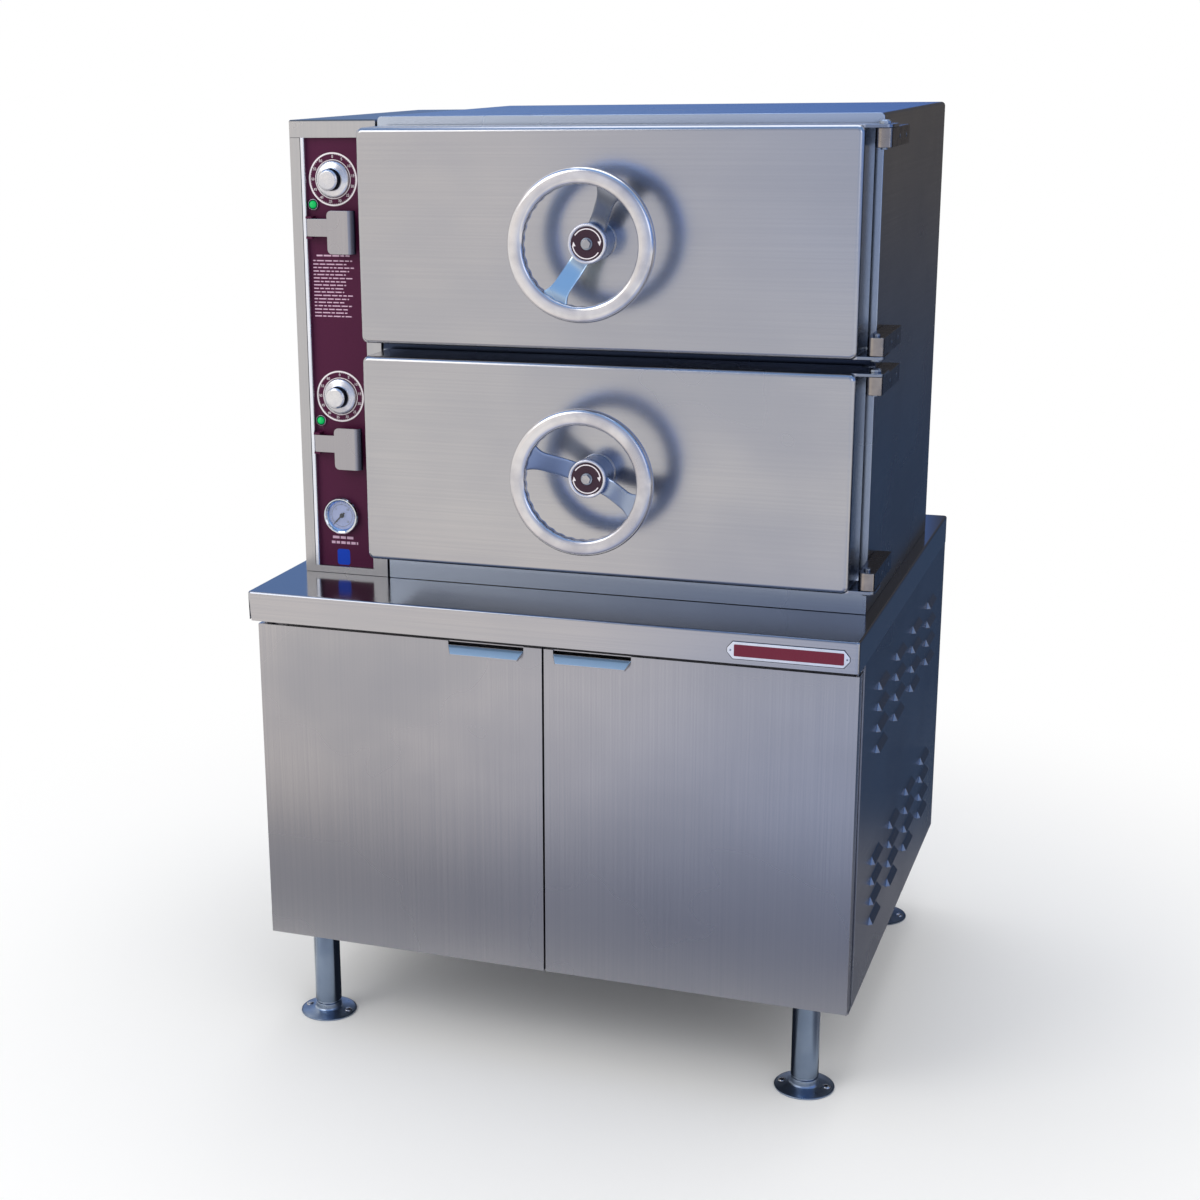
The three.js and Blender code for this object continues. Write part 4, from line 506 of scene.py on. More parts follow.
def skinOf(node, material, bevel, smoothAngle):
    # a CAD node's own shape with merged vertices, flat faces joined, smooth rounds and broken
    # edges: wide flat faces keep their own normal, and the narrow ones between turn smoothly
    mesh = frame["nodes"][node].data.copy()
    mesh.name = node + "Skin"
    work = bmesh.new()
    work.from_mesh(mesh)
    bmesh.ops.remove_doubles(work, verts=work.verts, dist=2e-6)
    flat = math.radians(0.4)
    bmesh.ops.dissolve_limit(work, angle_limit=flat, verts=work.verts, edges=work.edges)
    work.to_mesh(mesh)
    work.free()
    piece = smoothObject(node + "Skin", mesh, smoothAngle)
    if bevel:
        addBevel(piece, bevel, smoothAngle)
    even = piece.modifiers.new("even", "WEIGHTED_NORMAL")
    even.keep_sharp = True
    even.weight = 100
    return settle(piece, bodyOf[node], material, (node,))


# Sheet metal and inner parts keep the shape of their nodes: each finish has the width of its
# bevels and its nodes

hinges = [level + "_" + end for level in levels for end in ("top", "bottom")]
bolts = ["latch_bolt_" + level + "_" + side for level in levels for side in ("left", "right")]
corners = [end + "_" + side for end in ("front", "back") for side in ("left", "right")]
skins = {
    "doorSheet": (0.5, ["door_upper", "door_lower"]),
    "frameSheet": (0.5, ["body_front_frame"]),
    "cabinetDoorSheet": (0.5, ["cabinet_door_left", "cabinet_door_right", "cabinet_front_frame"]),
    "counterSheet": (0.5, ["counter_top"]),
    "sideSheet": (0.4, ["body_shell", "cabinet_side_left", "cabinet_side_right"]),
    "columnSheet": (0.4, ["column_shell"]),
    "innerSheet": (0.0, ["compartment_upper", "compartment_lower", "liner_upper", "liner_lower"]),
    "leverSheet": (0.5, ["lever_upper", "lever_lower"]),
    "hingeSteel": (0.8, ["hinge_block_" + hinge for hinge in hinges]),
    "turnedSteel": (0.0, ["spindle_upper", "spindle_lower"] + bolts
                    + ["hinge_pin_" + hinge for hinge in hinges]),
    "maroonEnamel": (0.0, ["control_panel"]),
    "legTube": (0.0, ["leg_" + corner for corner in corners]),
    "siliconeGasket": (0.0, ["gasket_upper", "gasket_lower"]),
    "chromeTrim": (0.0, ["gauge_case"]),
    "clearGlass": (0.0, ["gauge_lens"]),
    "brassPipe": (0.0, ["steam_riser", "drain_line", "relief_valve"]),
    "tankPaint": (0.0, ["steam_generator"]),
}
for material, (bevel, nodes) in skins.items():
    for node in nodes:
        if node.startswith("cabinet_side"):  # the pressed louvres have softer, shallower edges
            skinOf(node, material, 1.0, 18)
        else:
            skinOf(node, material, bevel, 35)

plainNodes = {
    "sideSheet": ["cabinet_back", "cabinet_floor"],
    "rockWool": ["insulation_jacket"],
    "blackMoulding": ["timer_body_upper", "timer_body_lower", "gauge_needle"],
}
for material, nodes in plainNodes.items():
    for node in nodes:
        frame["nodes"][node].material_slots[0].material = finish[material]
print("skins made")


# Wheels: turns are in degrees, grips is the number of finger waves

wheelLook = {
    "outer": 101.6, "rimHalf": 11.2, "tubeHalf": 9.5, "square": 0.6, "grips": 34,
    "gripDepth": 0.8, "gripTurn": 0.7, "ringSteps": 272, "sectionSteps": 44,
    "hub": 27.0, "hubReach": 25.0, "badge": 22.4, "bolt": 6.9,
    "spokeHalf": 12.6, "spokeThick": 2.9, "rimFlare": 20.0, "hubFlare": 13.0,
    "spokeStart": 19.0, "spokeSquare": 0.35, "spokeRows": 40, "spokeSides": 20,
    # the upper wheel's spokes take the painted shade copy and the painted sky reflection copy of
    # the spoke metal, and both of the lower wheel's spokes take the plain one
    "spokeFinish": {"upper": ("spokePaintedShade", "spokePaintedSkyReflection"), "lower": ("spokePlate", "spokePlate")},
    "turns": {"upper": 62.0, "lower": -22.0},
    "arrowStart": 0.2, "arrowSweep": 2.35, "arrowPoint": 0.34, "arrowBand": (20.4, 18.9),
    "arrowHead": (18.6, 20.9, 15.6),
}
rimMiddle = wheelLook["outer"] - wheelLook["rimHalf"]


def signedPower(value, power):
    return np.sign(value) * np.abs(value) ** power


def wheelRim(level, centre, rimY):
    # a wide superellipse carried round a circle, its inner back quarter waved for the fingers
    rows, columns = wheelLook["ringSteps"], wheelLook["sectionSteps"]
    around = np.linspace(0, 2 * np.pi, rows, endpoint=False)[:, None]
    section = np.linspace(0, 2 * np.pi, columns, endpoint=False)[None, :]
    reach = rimMiddle + wheelLook["rimHalf"] * signedPower(np.cos(section), wheelLook["square"])
    quarter = np.clip(-np.cos(section + wheelLook["gripTurn"]), 0, 1) ** 2
    reach = reach + wheelLook["gripDepth"] * quarter * (1 + np.cos(wheelLook["grips"] * around))
    depth = rimY + wheelLook["tubeHalf"] * signedPower(np.sin(section), wheelLook["square"])
    rim = np.stack([reach * np.cos(around), depth + 0 * around, reach * np.sin(around)], axis=-1)
    rim = rim * mm + np.array(centre)
    rim = np.concatenate([rim, rim[:1]])
    piece = meshPiece("wheelRim_" + level, rim.reshape(-1, 3), gridFaces(rows + 1, columns), 60)
    wheel = "wheel_" + level
    settle(piece, wheel, "polishedAluminium", (wheel,))


def wheelHub(level, centre, hubFace, hubBack):
    # a turned cup with a rounded lip round the badge and a slight taper behind
    hub = wheelLook["hub"]
    profile = rounded([
        (0, hubFace + 0.9), (hub - 4.2, hubFace + 0.9), (hub - 3.6, hubFace), (hub - 0.6, hubFace),
        (hub, hubFace + 2.4), (hub, hubFace + 10.0), (hub - 1.6, hubFace + 24),
        (hub - 1.6, hubBack), (0, hubBack),
    ], 1.6)
    piece = meshPiece("wheelHub_" + level, *turnedGrid(profile, centre, 72), 40)
    settle(piece, "wheel_" + level, "hubCasting")


def wheelSpokes(level, centre, rimY, hubFace):
    # a flat section whose width flares at both ends, carried along an S from hub to rim
    rows, columns = wheelLook["spokeRows"], wheelLook["spokeSides"]
    share = np.linspace(0, 1, rows)[:, None]
    loop = np.linspace(0, 2 * np.pi, columns, endpoint=False)[None, :]
    start, end = wheelLook["spokeStart"], rimMiddle - 2.0
    along = start + (end - start) * share
    drop = share * share * (3 - 2 * share)
    lean = (hubFace + 10.0) + (rimY + 2.5 - hubFace - 10.0) * drop
    half = wheelLook["spokeHalf"]
    flare = (wheelLook["rimFlare"] - half) * np.clip((along - end + 30) / 22, 0, 1) ** 2.4
    root = (wheelLook["hubFlare"] - half) * np.clip((start + 16 - along) / 16, 0, 1) ** 2
    width = (half + flare + root) * signedPower(np.cos(loop), wheelLook["spokeSquare"])
    thick = wheelLook["spokeThick"] * signedPower(np.sin(loop), wheelLook["spokeSquare"])
    along = along + 0 * loop
    for number, halfTurn in enumerate((0.0, math.pi)):
        angle = math.radians(wheelLook["turns"][level]) + halfTurn
        c, s = math.cos(angle), math.sin(angle)
        points = np.stack([along * c - width * s, lean + thick, along * s + width * c], axis=-1)
        points = (points * mm + np.array(centre)).reshape(-1, 3)
        name = "wheelSpoke_" + level + "_" + str(number)
        spoke = meshPiece(name, points, cappedFaces(rows, columns), 50)
        settle(spoke, "wheel_" + level, wheelLook["spokeFinish"][level][number])


def wheelBadge(level, centre, hubFace):
    # a flat badge with two turning arrows, a washer and a hexagon bolt
    wheel, radius = "wheel_" + level, wheelLook["badge"]
    badge = turnedPiece("wheelBadge_" + level, [
        (0, hubFace + 0.5), (0, hubFace + 0.1), (radius - 0.3, hubFace + 0.1),
        (radius, hubFace + 0.5), (0, hubFace + 0.5),
    ], centre, 72)
    settle(badge, wheel, "badgeInk")
    arrows = []
    outer, inner = wheelLook["arrowBand"]
    for start in (wheelLook["arrowStart"], wheelLook["arrowStart"] + math.pi):
        band = circlePoints(np.linspace(0, wheelLook["arrowSweep"], 30) + start)
        tip = start - wheelLook["arrowPoint"]
        point = circlePoints([tip, start, start]) * np.array(wheelLook["arrowHead"])[:, None]
        for outline in (np.concatenate([band * outer, band[::-1] * inner]), point):
            arrows.append(slab(outline, hubFace + 0.02, hubFace + 0.12, centre))
    settle(joinedPiece("wheelArrows_" + level, arrows), wheel, "whiteInk")
    washer = turnedPiece("wheelWasher_" + level, rounded([
        (0, hubFace + 0.1), (0, hubFace - 1.0), (8.0, hubFace - 1.0), (8.4, hubFace + 0.1),
        (0, hubFace + 0.1),
    ], 0.3), centre, 48)
    settle(washer, wheel, "turnedSteel")
    hexagon = circlePoints(np.radians(np.arange(0, 360, 60) + 12)) * wheelLook["bolt"]
    bolt = meshPiece("wheelBolt_" + level, *slab(hexagon, hubFace - 5.0, hubFace - 1.0, centre))
    settle(addBevel(bolt, 0.5), wheel, "boltSteel")


for level in levels:
    low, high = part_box("wheel_" + level)
    centre = axisOf("wheel_" + level)
    rimY = low[1] / mm + wheelLook["tubeHalf"]
    hubFace = rimY + wheelLook["hubReach"]
    wheelRim(level, centre, rimY)
    wheelHub(level, centre, hubFace, high[1] / mm)
    wheelSpokes(level, centre, rimY, hubFace)
    wheelBadge(level, centre, hubFace)
print("wheels made")


# Control column: window trim, dials, lamps, gauge and printed marks

panelSheet = 1.5
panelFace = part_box("control_panel")[1][1] / mm - panelSheet
panelMiddle = axisOf("gauge_case")[0]


def wordPart(words, size, x, z, front, thick):
    # a number as a mesh that faces the front, centred on its place
    curve = bpy.data.curves.new("figure", "FONT")
    curve.body = words
    curve.size = size * mm
    curve.align_x = "CENTER"
    curve.align_y = "CENTER"
    curve.extrude = thick * mm / 2
    curve.resolution_u = 3
    holder = addObject("figure", curve)
    bpy.context.view_layer.update()
    mesh = bpy.data.meshes.new_from_object(holder)
    points = np.empty(len(mesh.vertices) * 3)
    mesh.vertices.foreach_get("co", points)
    points = points.reshape(-1, 3)
    faces = [list(polygon.vertices) for polygon in mesh.polygons]
    depth = front * mm - points[:, 2] - thick * mm / 2
    placed = np.stack([points[:, 0] + x, depth, points[:, 1] + z], axis=-1)
    bpy.data.objects.remove(holder)
    bpy.data.curves.remove(curve)
    bpy.data.meshes.remove(mesh)
    return placed, faces


def figuresRound(words, centre, start, step, reach, size, front, thick):
    # numbers round a centre, clockwise from the start, angles in degrees
    parts = []
    for number, word in enumerate(words):
        angle = math.radians(start - number * step)
        x = centre[0] + reach * mm * math.cos(angle)
        z = centre[2] + reach * mm * math.sin(angle)
        parts.append(wordPart(word, size, x, z, front, thick))
    return parts


def ticksRound(name, centre, angles, reach, front, half):
    # bars round a centre, their middles at reach: half holds how long, deep and wide
    turns = np.radians(angles)
    count = len(turns)
    x = centre[0] + np.cos(turns) * reach * mm
    z = centre[2] + np.sin(turns) * reach * mm
    place = np.stack([x, np.full(count, front * mm), z], axis=-1)
    halves = np.stack([np.broadcast_to(each, count) for each in half], axis=-1) * mm
    return manyBoxes(name, place, halves, -turns)


# Edge, bottom and top are counted in from the column's own; the section is x and depth
windowLook = {
    "edge": 22.4, "bottom": 10.8, "top": 25.5, "seam": 5.6, "bevel": 0.3,
    "section": [(-5.0, 0.1), (-4.8, -0.7), (-0.4, -0.7), (0.7, 0.4), (0.7, 6.6), (0.05, 6.6),
                (0.05, 0.1)],
}


def windowTrim():
    # a folded lip along the window's left edge, far lighter than the column sheet as a painted
    # highlight, with a dark seam beside and above it
    low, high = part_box("column_shell")
    left, front = low[0] / mm, low[1] / mm
    edge = left + windowLook["edge"]
    bottom, top = low[2] / mm + windowLook["bottom"], high[2] / mm - windowLook["top"]
    section = np.array(windowLook["section"]) + [edge, front]
    count = len(section)
    ends = [np.column_stack([section, np.full(count, z)]) for z in (bottom, top)]
    lip = meshPiece("windowLip", np.concatenate(ends) * mm, cappedFaces(2, count))
    settle(addBevel(lip, windowLook["bevel"]), "stand", "lipPaintedHighlight")
    seam = edge - windowLook["seam"]
    beside = oneBox("windowSeam", (seam, front - 0.05, (bottom + top) / 2),
                    (0.45, 0.1, (top - bottom) / 2))
    settle(beside, "stand", "blackMoulding")
    half = (seam - left - 1.0) / 2
    above = oneBox("columnSeam", (left + 1.0 + half, front - 0.03, top + 0.3), (half, 0.08, 0.3))
    settle(above, "stand", "blackMoulding")


dialLook = {
    "ringOuter": 38.5, "ringInner": 36.1, "bandInner": 27.2, "bandOuter": 28.3, "print": 0.15,
    "numberRadius": 32.2, "numberSize": 5.6, "longTick": 1.0, "shortTick": 0.6, "sides": 96,
    "skirt": 26.5, "grip": 15.2, "reach": 20.0, "knurls": 56, "knurlDepth": 0.22,
    "knobSides": 224,
}


def dialPrint(level, centre):
    # a ring, a band, a tick for each minute and the numbers
    rings = [("ringInner", "ringOuter"), ("bandInner", "bandOuter")]
    front = panelFace - dialLook["print"]
    parts = [flatRing(dialLook[inner], dialLook[outer], front, panelFace, centre, dialLook["sides"])
             for inner, outer in rings]
    parts += figuresRound([str(minutes) for minutes in range(0, 61, 5)], centre, 90, 27,
                          dialLook["numberRadius"], dialLook["numberSize"], panelFace, 0.12)
    settle(joinedPiece("dialPrint_" + level, parts), "stand", "whiteInk")
    minutes = np.arange(61)
    long = np.where(minutes % 5 == 0, dialLook["longTick"], dialLook["shortTick"])
    ticks = ticksRound("dialTicks_" + level, centre, 90 - minutes * 5.4,
                       dialLook["ringInner"] - long, panelFace - 0.08, (long, 0.07, 0.22))
    settle(ticks, "stand", "whiteInk")


def knobPieces(level, centre):
    # a shallow spun skirt and a knurled grip with a bright cap and a dark band
    grip, skirt = dialLook["grip"], dialLook["skirt"]
    back = panelFace - 0.6
    front = back - dialLook["reach"]
    shaft, shaftEnd = 3.0, back + 17.7
    profile = rounded([
        (0, front), (grip - 2.6, front), (grip - 1.2, front + 0.9), (grip, front + 1.6),
        (grip, back - 6.5), (grip + 1.4, back - 5.0), (skirt - 3.0, back - 3.4),
        (skirt - 0.6, back - 2.2), (skirt, back - 1.0), (skirt, back), (shaft, back),
        (shaft, shaftEnd), (0, shaftEnd),
    ], 0.5)
    onGrip = (np.abs(profile[:, 0] - grip) < 0.05) & (profile[:, 1] < back - 6.6)
    knurls, depth, sides = (dialLook[key] for key in ("knurls", "knurlDepth", "knobSides"))
    knob = turnedPiece("knobTurning_" + level, profile, centre, sides,
                       ripple=(np.nonzero(onGrip)[0], knurls, depth))
    settle(knob, "knob_" + level, "spunAluminium", ("knob_" + level,))
    bandRows = [2, 3, 4, 5]  # the rows of the rounded profile on the band's outer face
    band = turnedPiece("knobBand_" + level, rounded([
        (grip - 0.8, front + 2.0), (grip + 0.35, front + 2.0), (grip + 0.35, back - 5.6),
        (grip - 0.8, back - 5.6), (grip - 0.8, front + 2.0),
    ], 0.2), centre, sides, ripple=(bandRows, knurls, depth))
    settle(band, "knob_" + level, "knurledNylon")
    markAt = (centre[0] / mm, back - 3.0, centre[2] / mm + skirt - 4.6)
    mark = oneBox("knobMark_" + level, markAt, (0.5, 0.5, 2.2))
    settle(mark, "knob_" + level, "blackMoulding")


def lampPieces(level):
    # a moulded bezel with a bright nut round it and a domed lens
    node = "pilot_light_" + level
    front, back = planeOf(node, 0, 1) / mm, planeOf(node, 1, 1) / mm
    centre = axisOf(node)
    bezel = turnedPiece("lampBezel_" + level, rounded([
        (0, front + 4.6), (5.6, front + 4.6), (5.9, front + 3.6), (7.0, front + 3.4),
        (8.0, front + 4.6), (8.0, front + 7.0), (5.5, front + 7.0), (5.5, back), (0, back),
    ], 0.5), centre, 48)
    settle(bezel, "stand", "knurledNylon", (node,))
    nut = turnedPiece("lampNut_" + level, rounded([
        (6.9, front + 3.9), (7.8, front + 3.9), (8.0, front + 4.4), (8.0, front + 7.6),
        (6.9, front + 7.6), (6.9, front + 3.9),
    ], 0.2), centre, 48)
    settle(nut, "stand", "chromeTrim")
    # the lens's height falls with the cosine of the angle
    turn = np.linspace(0, np.pi / 2, 14)
    dome = np.stack([5.8 * np.sin(turn), front + 0.2 + 4.2 * (1 - np.cos(turn))], axis=-1)
    profile = np.concatenate([dome, [(5.8, front + 4.9), (0, front + 4.9)]])
    lens = turnedPiece("lampLens_" + level, profile, centre, 40)
    settle(lens, "stand", "greenLens")


gaugeLook = {
    "sunk": 7.6, "card": 23.6, "needleHole": 2.2, "line": (16.9, 17.3), "numberRadius": 13.4,
    "numberSize": 4.6, "tickRadius": 20.4, "longTick": 1.8, "shortTick": 1.0, "sides": 72,
}


def gaugePieces():
    # a pale card tinted blue as a painted reflection, with a fine line, numbers and ticks, inside a
    # chrome rim tinted sky blue as a painted reflection
    centre = axisOf("gauge_case")
    face = planeOf("gauge_case", 0, 1) / mm + gaugeLook["sunk"]
    front, sides = face - 0.3, gaugeLook["sides"]
    card = flatRing(gaugeLook["needleHole"], gaugeLook["card"], front, face - 0.02, centre, sides)
    settle(meshPiece("gaugeCard", *card), "stand", "gaugeFace")
    rim = turnedPiece("gaugeRim", rounded([
        (21.6, face - 0.32), (21.8, face - 0.8), (24.0, face - 3.2), (25.2, face - 3.4),
        (25.2, face - 0.32), (21.6, face - 0.32),
    ], 0.3), centre, sides)
    settle(rim, "stand", "chromePaintedSkyReflection")
    parts = [flatRing(*gaugeLook["line"], face - 0.38, front, centre, sides)]
    parts += figuresRound(("0", "5", "10", "15"), centre, 225, 90, gaugeLook["numberRadius"],
                          gaugeLook["numberSize"], front, 0.1)
    settle(joinedPiece("gaugeFigures", parts), "stand", "blackMoulding")
    step = np.arange(31)
    long = np.where(step % 5 == 0, gaugeLook["longTick"], gaugeLook["shortTick"])
    ticks = ticksRound("gaugeTicks", centre, 225 - step * 9, gaugeLook["tickRadius"],
                       face - 0.35, (long, 0.05, 0.18))
    settle(ticks, "stand", "blackMoulding")


# Each row: height in metres, half thickness, length and inset; a length of 0 is drawn at random
panelLook = {
    "title": (1.1935, 1.15, 56.0, 4.0),
    "rows": 17, "firstRow": 1.1860, "rowStep": 0.0051, "rowHalf": 0.85, "rowInset": -2.0,
    "below": [(0.7665, 2.0, 38.0, 14.0), (0.7585, 2.0, 44.0, 12.0)],
    "lengths": (44.0, 66.0), "dashes": (4.0, 13.0), "gap": 2.0, "left": -32.0,
    "patchHalf": (6.5, 8.4), "patchRound": 4.0, "patchHeight": 0.736, "patchShift": -0.5,
}


def panelMarks():
    # rows of short dashes in place of print, and a plain blue patch
    rng = np.random.default_rng(7)
    rows = [panelLook["title"]]
    rows += [(panelLook["firstRow"] - step * panelLook["rowStep"], panelLook["rowHalf"], 0.0,
              panelLook["rowInset"]) for step in range(panelLook["rows"])]
    rows += panelLook["below"]
    gap = panelLook["gap"]
    place, halves = [], []
    for z, thick, length, inset in rows:
        at = panelLook["left"] + inset
        stop = at + (length or rng.uniform(*panelLook["lengths"]))
        while at < stop - gap:
            dash = min(rng.uniform(*panelLook["dashes"]), stop - at)
            place.append((panelMiddle + (at + dash / 2) * mm, (panelFace - 0.06) * mm, z))
            halves.append((dash / 2 * mm, 0.05 * mm, thick * mm))
            at += dash + gap
    lines = manyBoxes("panelDashes", place, halves, np.zeros(len(place)))
    settle(lines, "stand", "pinkInk")
    outline = softRectangle(*panelLook["patchHalf"], panelLook["patchRound"], 7)
    centre = (panelMiddle + panelLook["patchShift"] * mm, 0.0, panelLook["patchHeight"])
    patch = meshPiece("panelPatch", *slab(outline, panelFace - 0.2, panelFace, centre))
    settle(patch, "stand", "blueInk")


windowTrim()
for level in levels:
    dialCentre = (axisOf("knob_" + level)[0], 0.0, axisOf("timer_body_" + level)[2])
    dialPrint(level, dialCentre)
    knobPieces(level, dialCentre)
    lampPieces(level)
gaugePieces()
panelMarks()
print("control column made")


# Counter plate, tabs and screws

plateLook = {
    "left": 276.0, "right": 444.0, "low": 674.0, "high": 698.5, "point": 8.0, "tip": 3.0,
    "thick": 1.2, "shadowGrowth": (1.009, 1.07), "fieldLeft": 285.5, "fieldRight": 436.5,
    "fieldInset": 3.8, "fieldRound": 1.5, "rivets": {"left": 280.4, "right": 440.6},
}


def counterPlate():
    # a long badge with pointed ends: bright metal on a thin black outline, a painted shadow, a bare
    # red field with soft corners and a rivet at each end
    face = planeOf("counter_top", 0, 1) / mm
    keys = ("left", "right", "low", "high", "point", "tip", "thick")
    left, right, low, high, point, tip, thick = (plateLook[key] for key in keys)
    middle = (low + high) / 2
    outline = np.array([
        (left, middle - tip), (left + point, low), (right - point, low), (right, middle - tip),
        (right, middle + tip), (right - point, high), (left + point, high), (left, middle + tip),
    ])
    centre = outline.mean(axis=0)
    # a thin black outline a little larger than the badge: painted shadow round it
    shadowOutline = slab(centre + (outline - centre) * plateLook["shadowGrowth"], face - 0.3, face)
    settle(meshPiece("platePaintedShadow", *shadowOutline), "stand", "blackMoulding")
    border = meshPiece("plateBorder", *slab(outline, face - thick, face))
    settle(addBevel(border, 0.4), "stand", "plateMetal")
    corner = plateLook["fieldRound"]
    halfWide = (plateLook["fieldRight"] - plateLook["fieldLeft"]) / 2 - corner
    halfTall = (high - low) / 2 - plateLook["fieldInset"] - corner
    fieldMiddle = (plateLook["fieldLeft"] + plateLook["fieldRight"]) / 2
    field = softRectangle(halfWide, halfTall, corner, 5) + [fieldMiddle, middle]
    field = meshPiece("plateField", *slab(field, face - thick - 0.15, face - 0.5))
    settle(field, "stand", "badgeRed")
    for side, x in plateLook["rivets"].items():
        at = (x * mm, (face - thick - 0.1) * mm, middle * mm)
        settle(domedHead("plateRivet_" + side, at, "y", -1, 1.5, 0.8),
               "stand", "turnedSteel")


# Each point of the section: how far behind the tab's tip, how high against the door's top edge,
# and half the tab's width there
tabLook = {
    "middle": {"left": -87.3, "right": 73.7},
    "section": [(10.8, -6.4, 58.0), (6.4, -8.6, 55.4), (0.05, -16.6, 51.7), (0.05, -17.2, 51.5)],
}


def tabPiece(side):
    # the tab's upper face, bowed a little towards the front, in a dull light-blue coat: painted sky
    # reflection
    door = "cabinet_door_" + side
    tip, top = planeOf(door, 0, 1) / mm, planeOf(door, 1, 2) / mm
    points = np.array([
        (tabLook["middle"][side] + way * half, tip + behind, top + height)
        for behind, height, half in tabLook["section"] for way in (-1, 1)
    ]) * mm
    faces = [[0, 1, 3, 2], [2, 3, 5, 4], [4, 5, 7, 6], [6, 7, 1, 0], [0, 2, 4, 6], [1, 7, 5, 3]]
    piece = meshPiece("tabFace_" + side, points, faces, 20)
    settle(piece, door, "tabPaintedSkyReflection")


counterPlate()
tabPiece("left")
tabPiece("right")
screwShares = (0.45, 0.82)  # of the block's depth from its front
for hinge in hinges:
    low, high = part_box("hinge_block_" + hinge)
    for number, share in enumerate(screwShares):
        y = low[1] + (high[1] - low[1]) * share
        at = (high[0] - 0.6 * mm, y, (low[2] + high[2]) / 2)
        screw = domedHead("blockScrew_" + hinge + "_" + str(number), at, "x", 1, 3.6, 1.4)
        settle(screw, "stand", "turnedSteel")
print("small fittings made")


# Feet: a cast flange with a rounded edge, its collar and stem, and two bolt heads

footLook = {
    "flange": 44.45, "collar": 20.4, "stem": 17.5, "boltReach": 33.0, "boltAt": 4.0,
    "boltRadius": 6.4, "boltHeight": 3.2,
}


def footPieces(corner):
    node = "foot_" + corner
    low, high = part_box(node)
    x, y = (low[0] + high[0]) / 2, (low[1] + high[1]) / 2
    top = high[2] / mm
    flange, collar, stem = (footLook[key] for key in ("flange", "collar", "stem"))
    profile = rounded([
        (0, 0), (flange - 0.6, 0), (flange, 0.8), (flange, 2.6), (33.0, 4.6), (22.5, 6.5),
        (collar, 9.0), (collar, 17.0), (stem, 17.0), (stem, top), (0, top),
    ], 1.0)
    foot = turnedPiece("footTurning_" + corner, profile, (x, y, 0.0), 64, "z")
    settle(foot, node, "footCasting", (node,))
    for side, way in (("_a", -1), ("_b", 1)):
        at = (x + way * footLook["boltReach"] * mm, y, footLook["boltAt"] * mm)
        bolt = domedHead("footBolt_" + corner + side, at, "z", 1,
                         footLook["boltRadius"], footLook["boltHeight"])
        settle(bolt, node, "boltSteel")


for corner in corners:
    footPieces(corner)
print("feet made")


# Studio: floor, world, lamps and cards that only reflections see

studio = {
    "floorHalf": 30, "floorTone": "#FBFBFB", "shadowFrom": 0.75, "shadowTo": 1.7,
    "worldSoft": 0.8,
}
# Each lamp: its place, what it aims at, its size, its power and its tone
lamps = {
    "keyLamp": ((-2.6, -3.4, 3.4), (0, 0, 0.8), 2.6, 55.0, "#FFFDF8"),
    "fillLamp": ((2.8, -3.2, 2.2), (0, 0, 0.8), 2.0, 14.0, "#EAF1FF"),
    "topLamp": ((0.0, 0.6, 4.0), (0, 0, 0.7), 2.4, 30.0, "#F4F8FF"),
}
# Each card: its low and high corner, how far in its rim fades out, and its tone. Turn is where
# along an axis the tone turns to another, tint the same for a tone multiplied over it
cards = {
    "floorCard": {
        "low": (-3.0, -3.6, 0.004), "high": (3.0, -0.42, 0.004), "rim": 0.5, "tone": "#8C8D97",
        "turn": (1, -0.7, -1.75, "#FFFBFA"), "tint": (0, -1.0, 0.3, "#C0D0F2"),
    },
    "frontCard": {
        "low": (-9.0, -5.2, 0.0), "high": (7.0, -5.2, 5.0), "rim": 0.8, "tone": "#FFFCFA",
        "turn": (2, 1.4, 3.6, "#C2C5CF"), "tint": (0, -2.4, 0.0, "#C4D4F4"),
    },
    "sideCard": {
        "low": (0.2, 1.7, -0.2), "high": (7.0, 1.7, 3.4), "rim": 0.1, "tone": "#384862",
        "turn": (2, 0.5, 1.4, "#5E5A58"), "tint": (0, 2.0, 6.0, "#4A5262"),
    },
    "sideFloorCard": {
        "low": (0.46, -0.4, 0.005), "high": (7.0, 1.9, 0.005), "rim": 0.04, "tone": "#70727C",
        "turn": (1, 0.4, 0.95, "#3A4A64"), "tint": (0, 1.5, 5.0, "#3C4C68"),
    },
    "skyCard": {
        "low": (-5.5, 3.4, 0.2), "high": (1.2, 3.4, 3.4), "rim": 0.25, "tone": "#7C9CD2",
        "turn": (2, 1.2, 3.0, "#8AACE2"), "tint": (0, -2.0, 1.0, "#A4BCE4"),
    },
    "rightCard": {
        "low": (5.0, -5.0, 0.3), "high": (5.0, 1.5, 5.0), "rim": 0.8, "tone": "#7FA8EE",
    },
    "topCard": {
        "low": (-7.0, -6.0, 5.2), "high": (7.0, 2.6, 5.2), "rim": 1.2, "tone": "#8CB4EC",
    },
    # a dark sheet under the cabinet that only reflections see: painted shade on the floor there
    "underPaintedShadeCard": {
        "low": (-0.46, -0.36, 0.003), "high": (0.46, 0.42, 0.003), "rim": 0.05,
        "tone": "#2B2E36",
    },
}


def stageSheet(name, materialName, corners):
    # one flat quad outside the object, with an empty material and Object coordinates at hand
    mesh = bpy.data.meshes.new(name)
    mesh.from_pydata(corners, [], [(0, 1, 2, 3)])
    material = bpy.data.materials.new(materialName)
    material.use_nodes = True
    material.node_tree.nodes.clear()
    mesh.materials.append(material)
    piece = addObject(name, mesh)
    place = addNode(material, "ShaderNodeTexCoord").outputs["Object"]
    return piece, material, place


def mixedSurface(material, share, first, second):
    links = {0: share, 1: first, 2: second}
    mixed = addNode(material, "ShaderNodeMixShader", None, links).outputs[0]
    addNode(material, "ShaderNodeOutputMaterial", None, {"Surface": mixed})


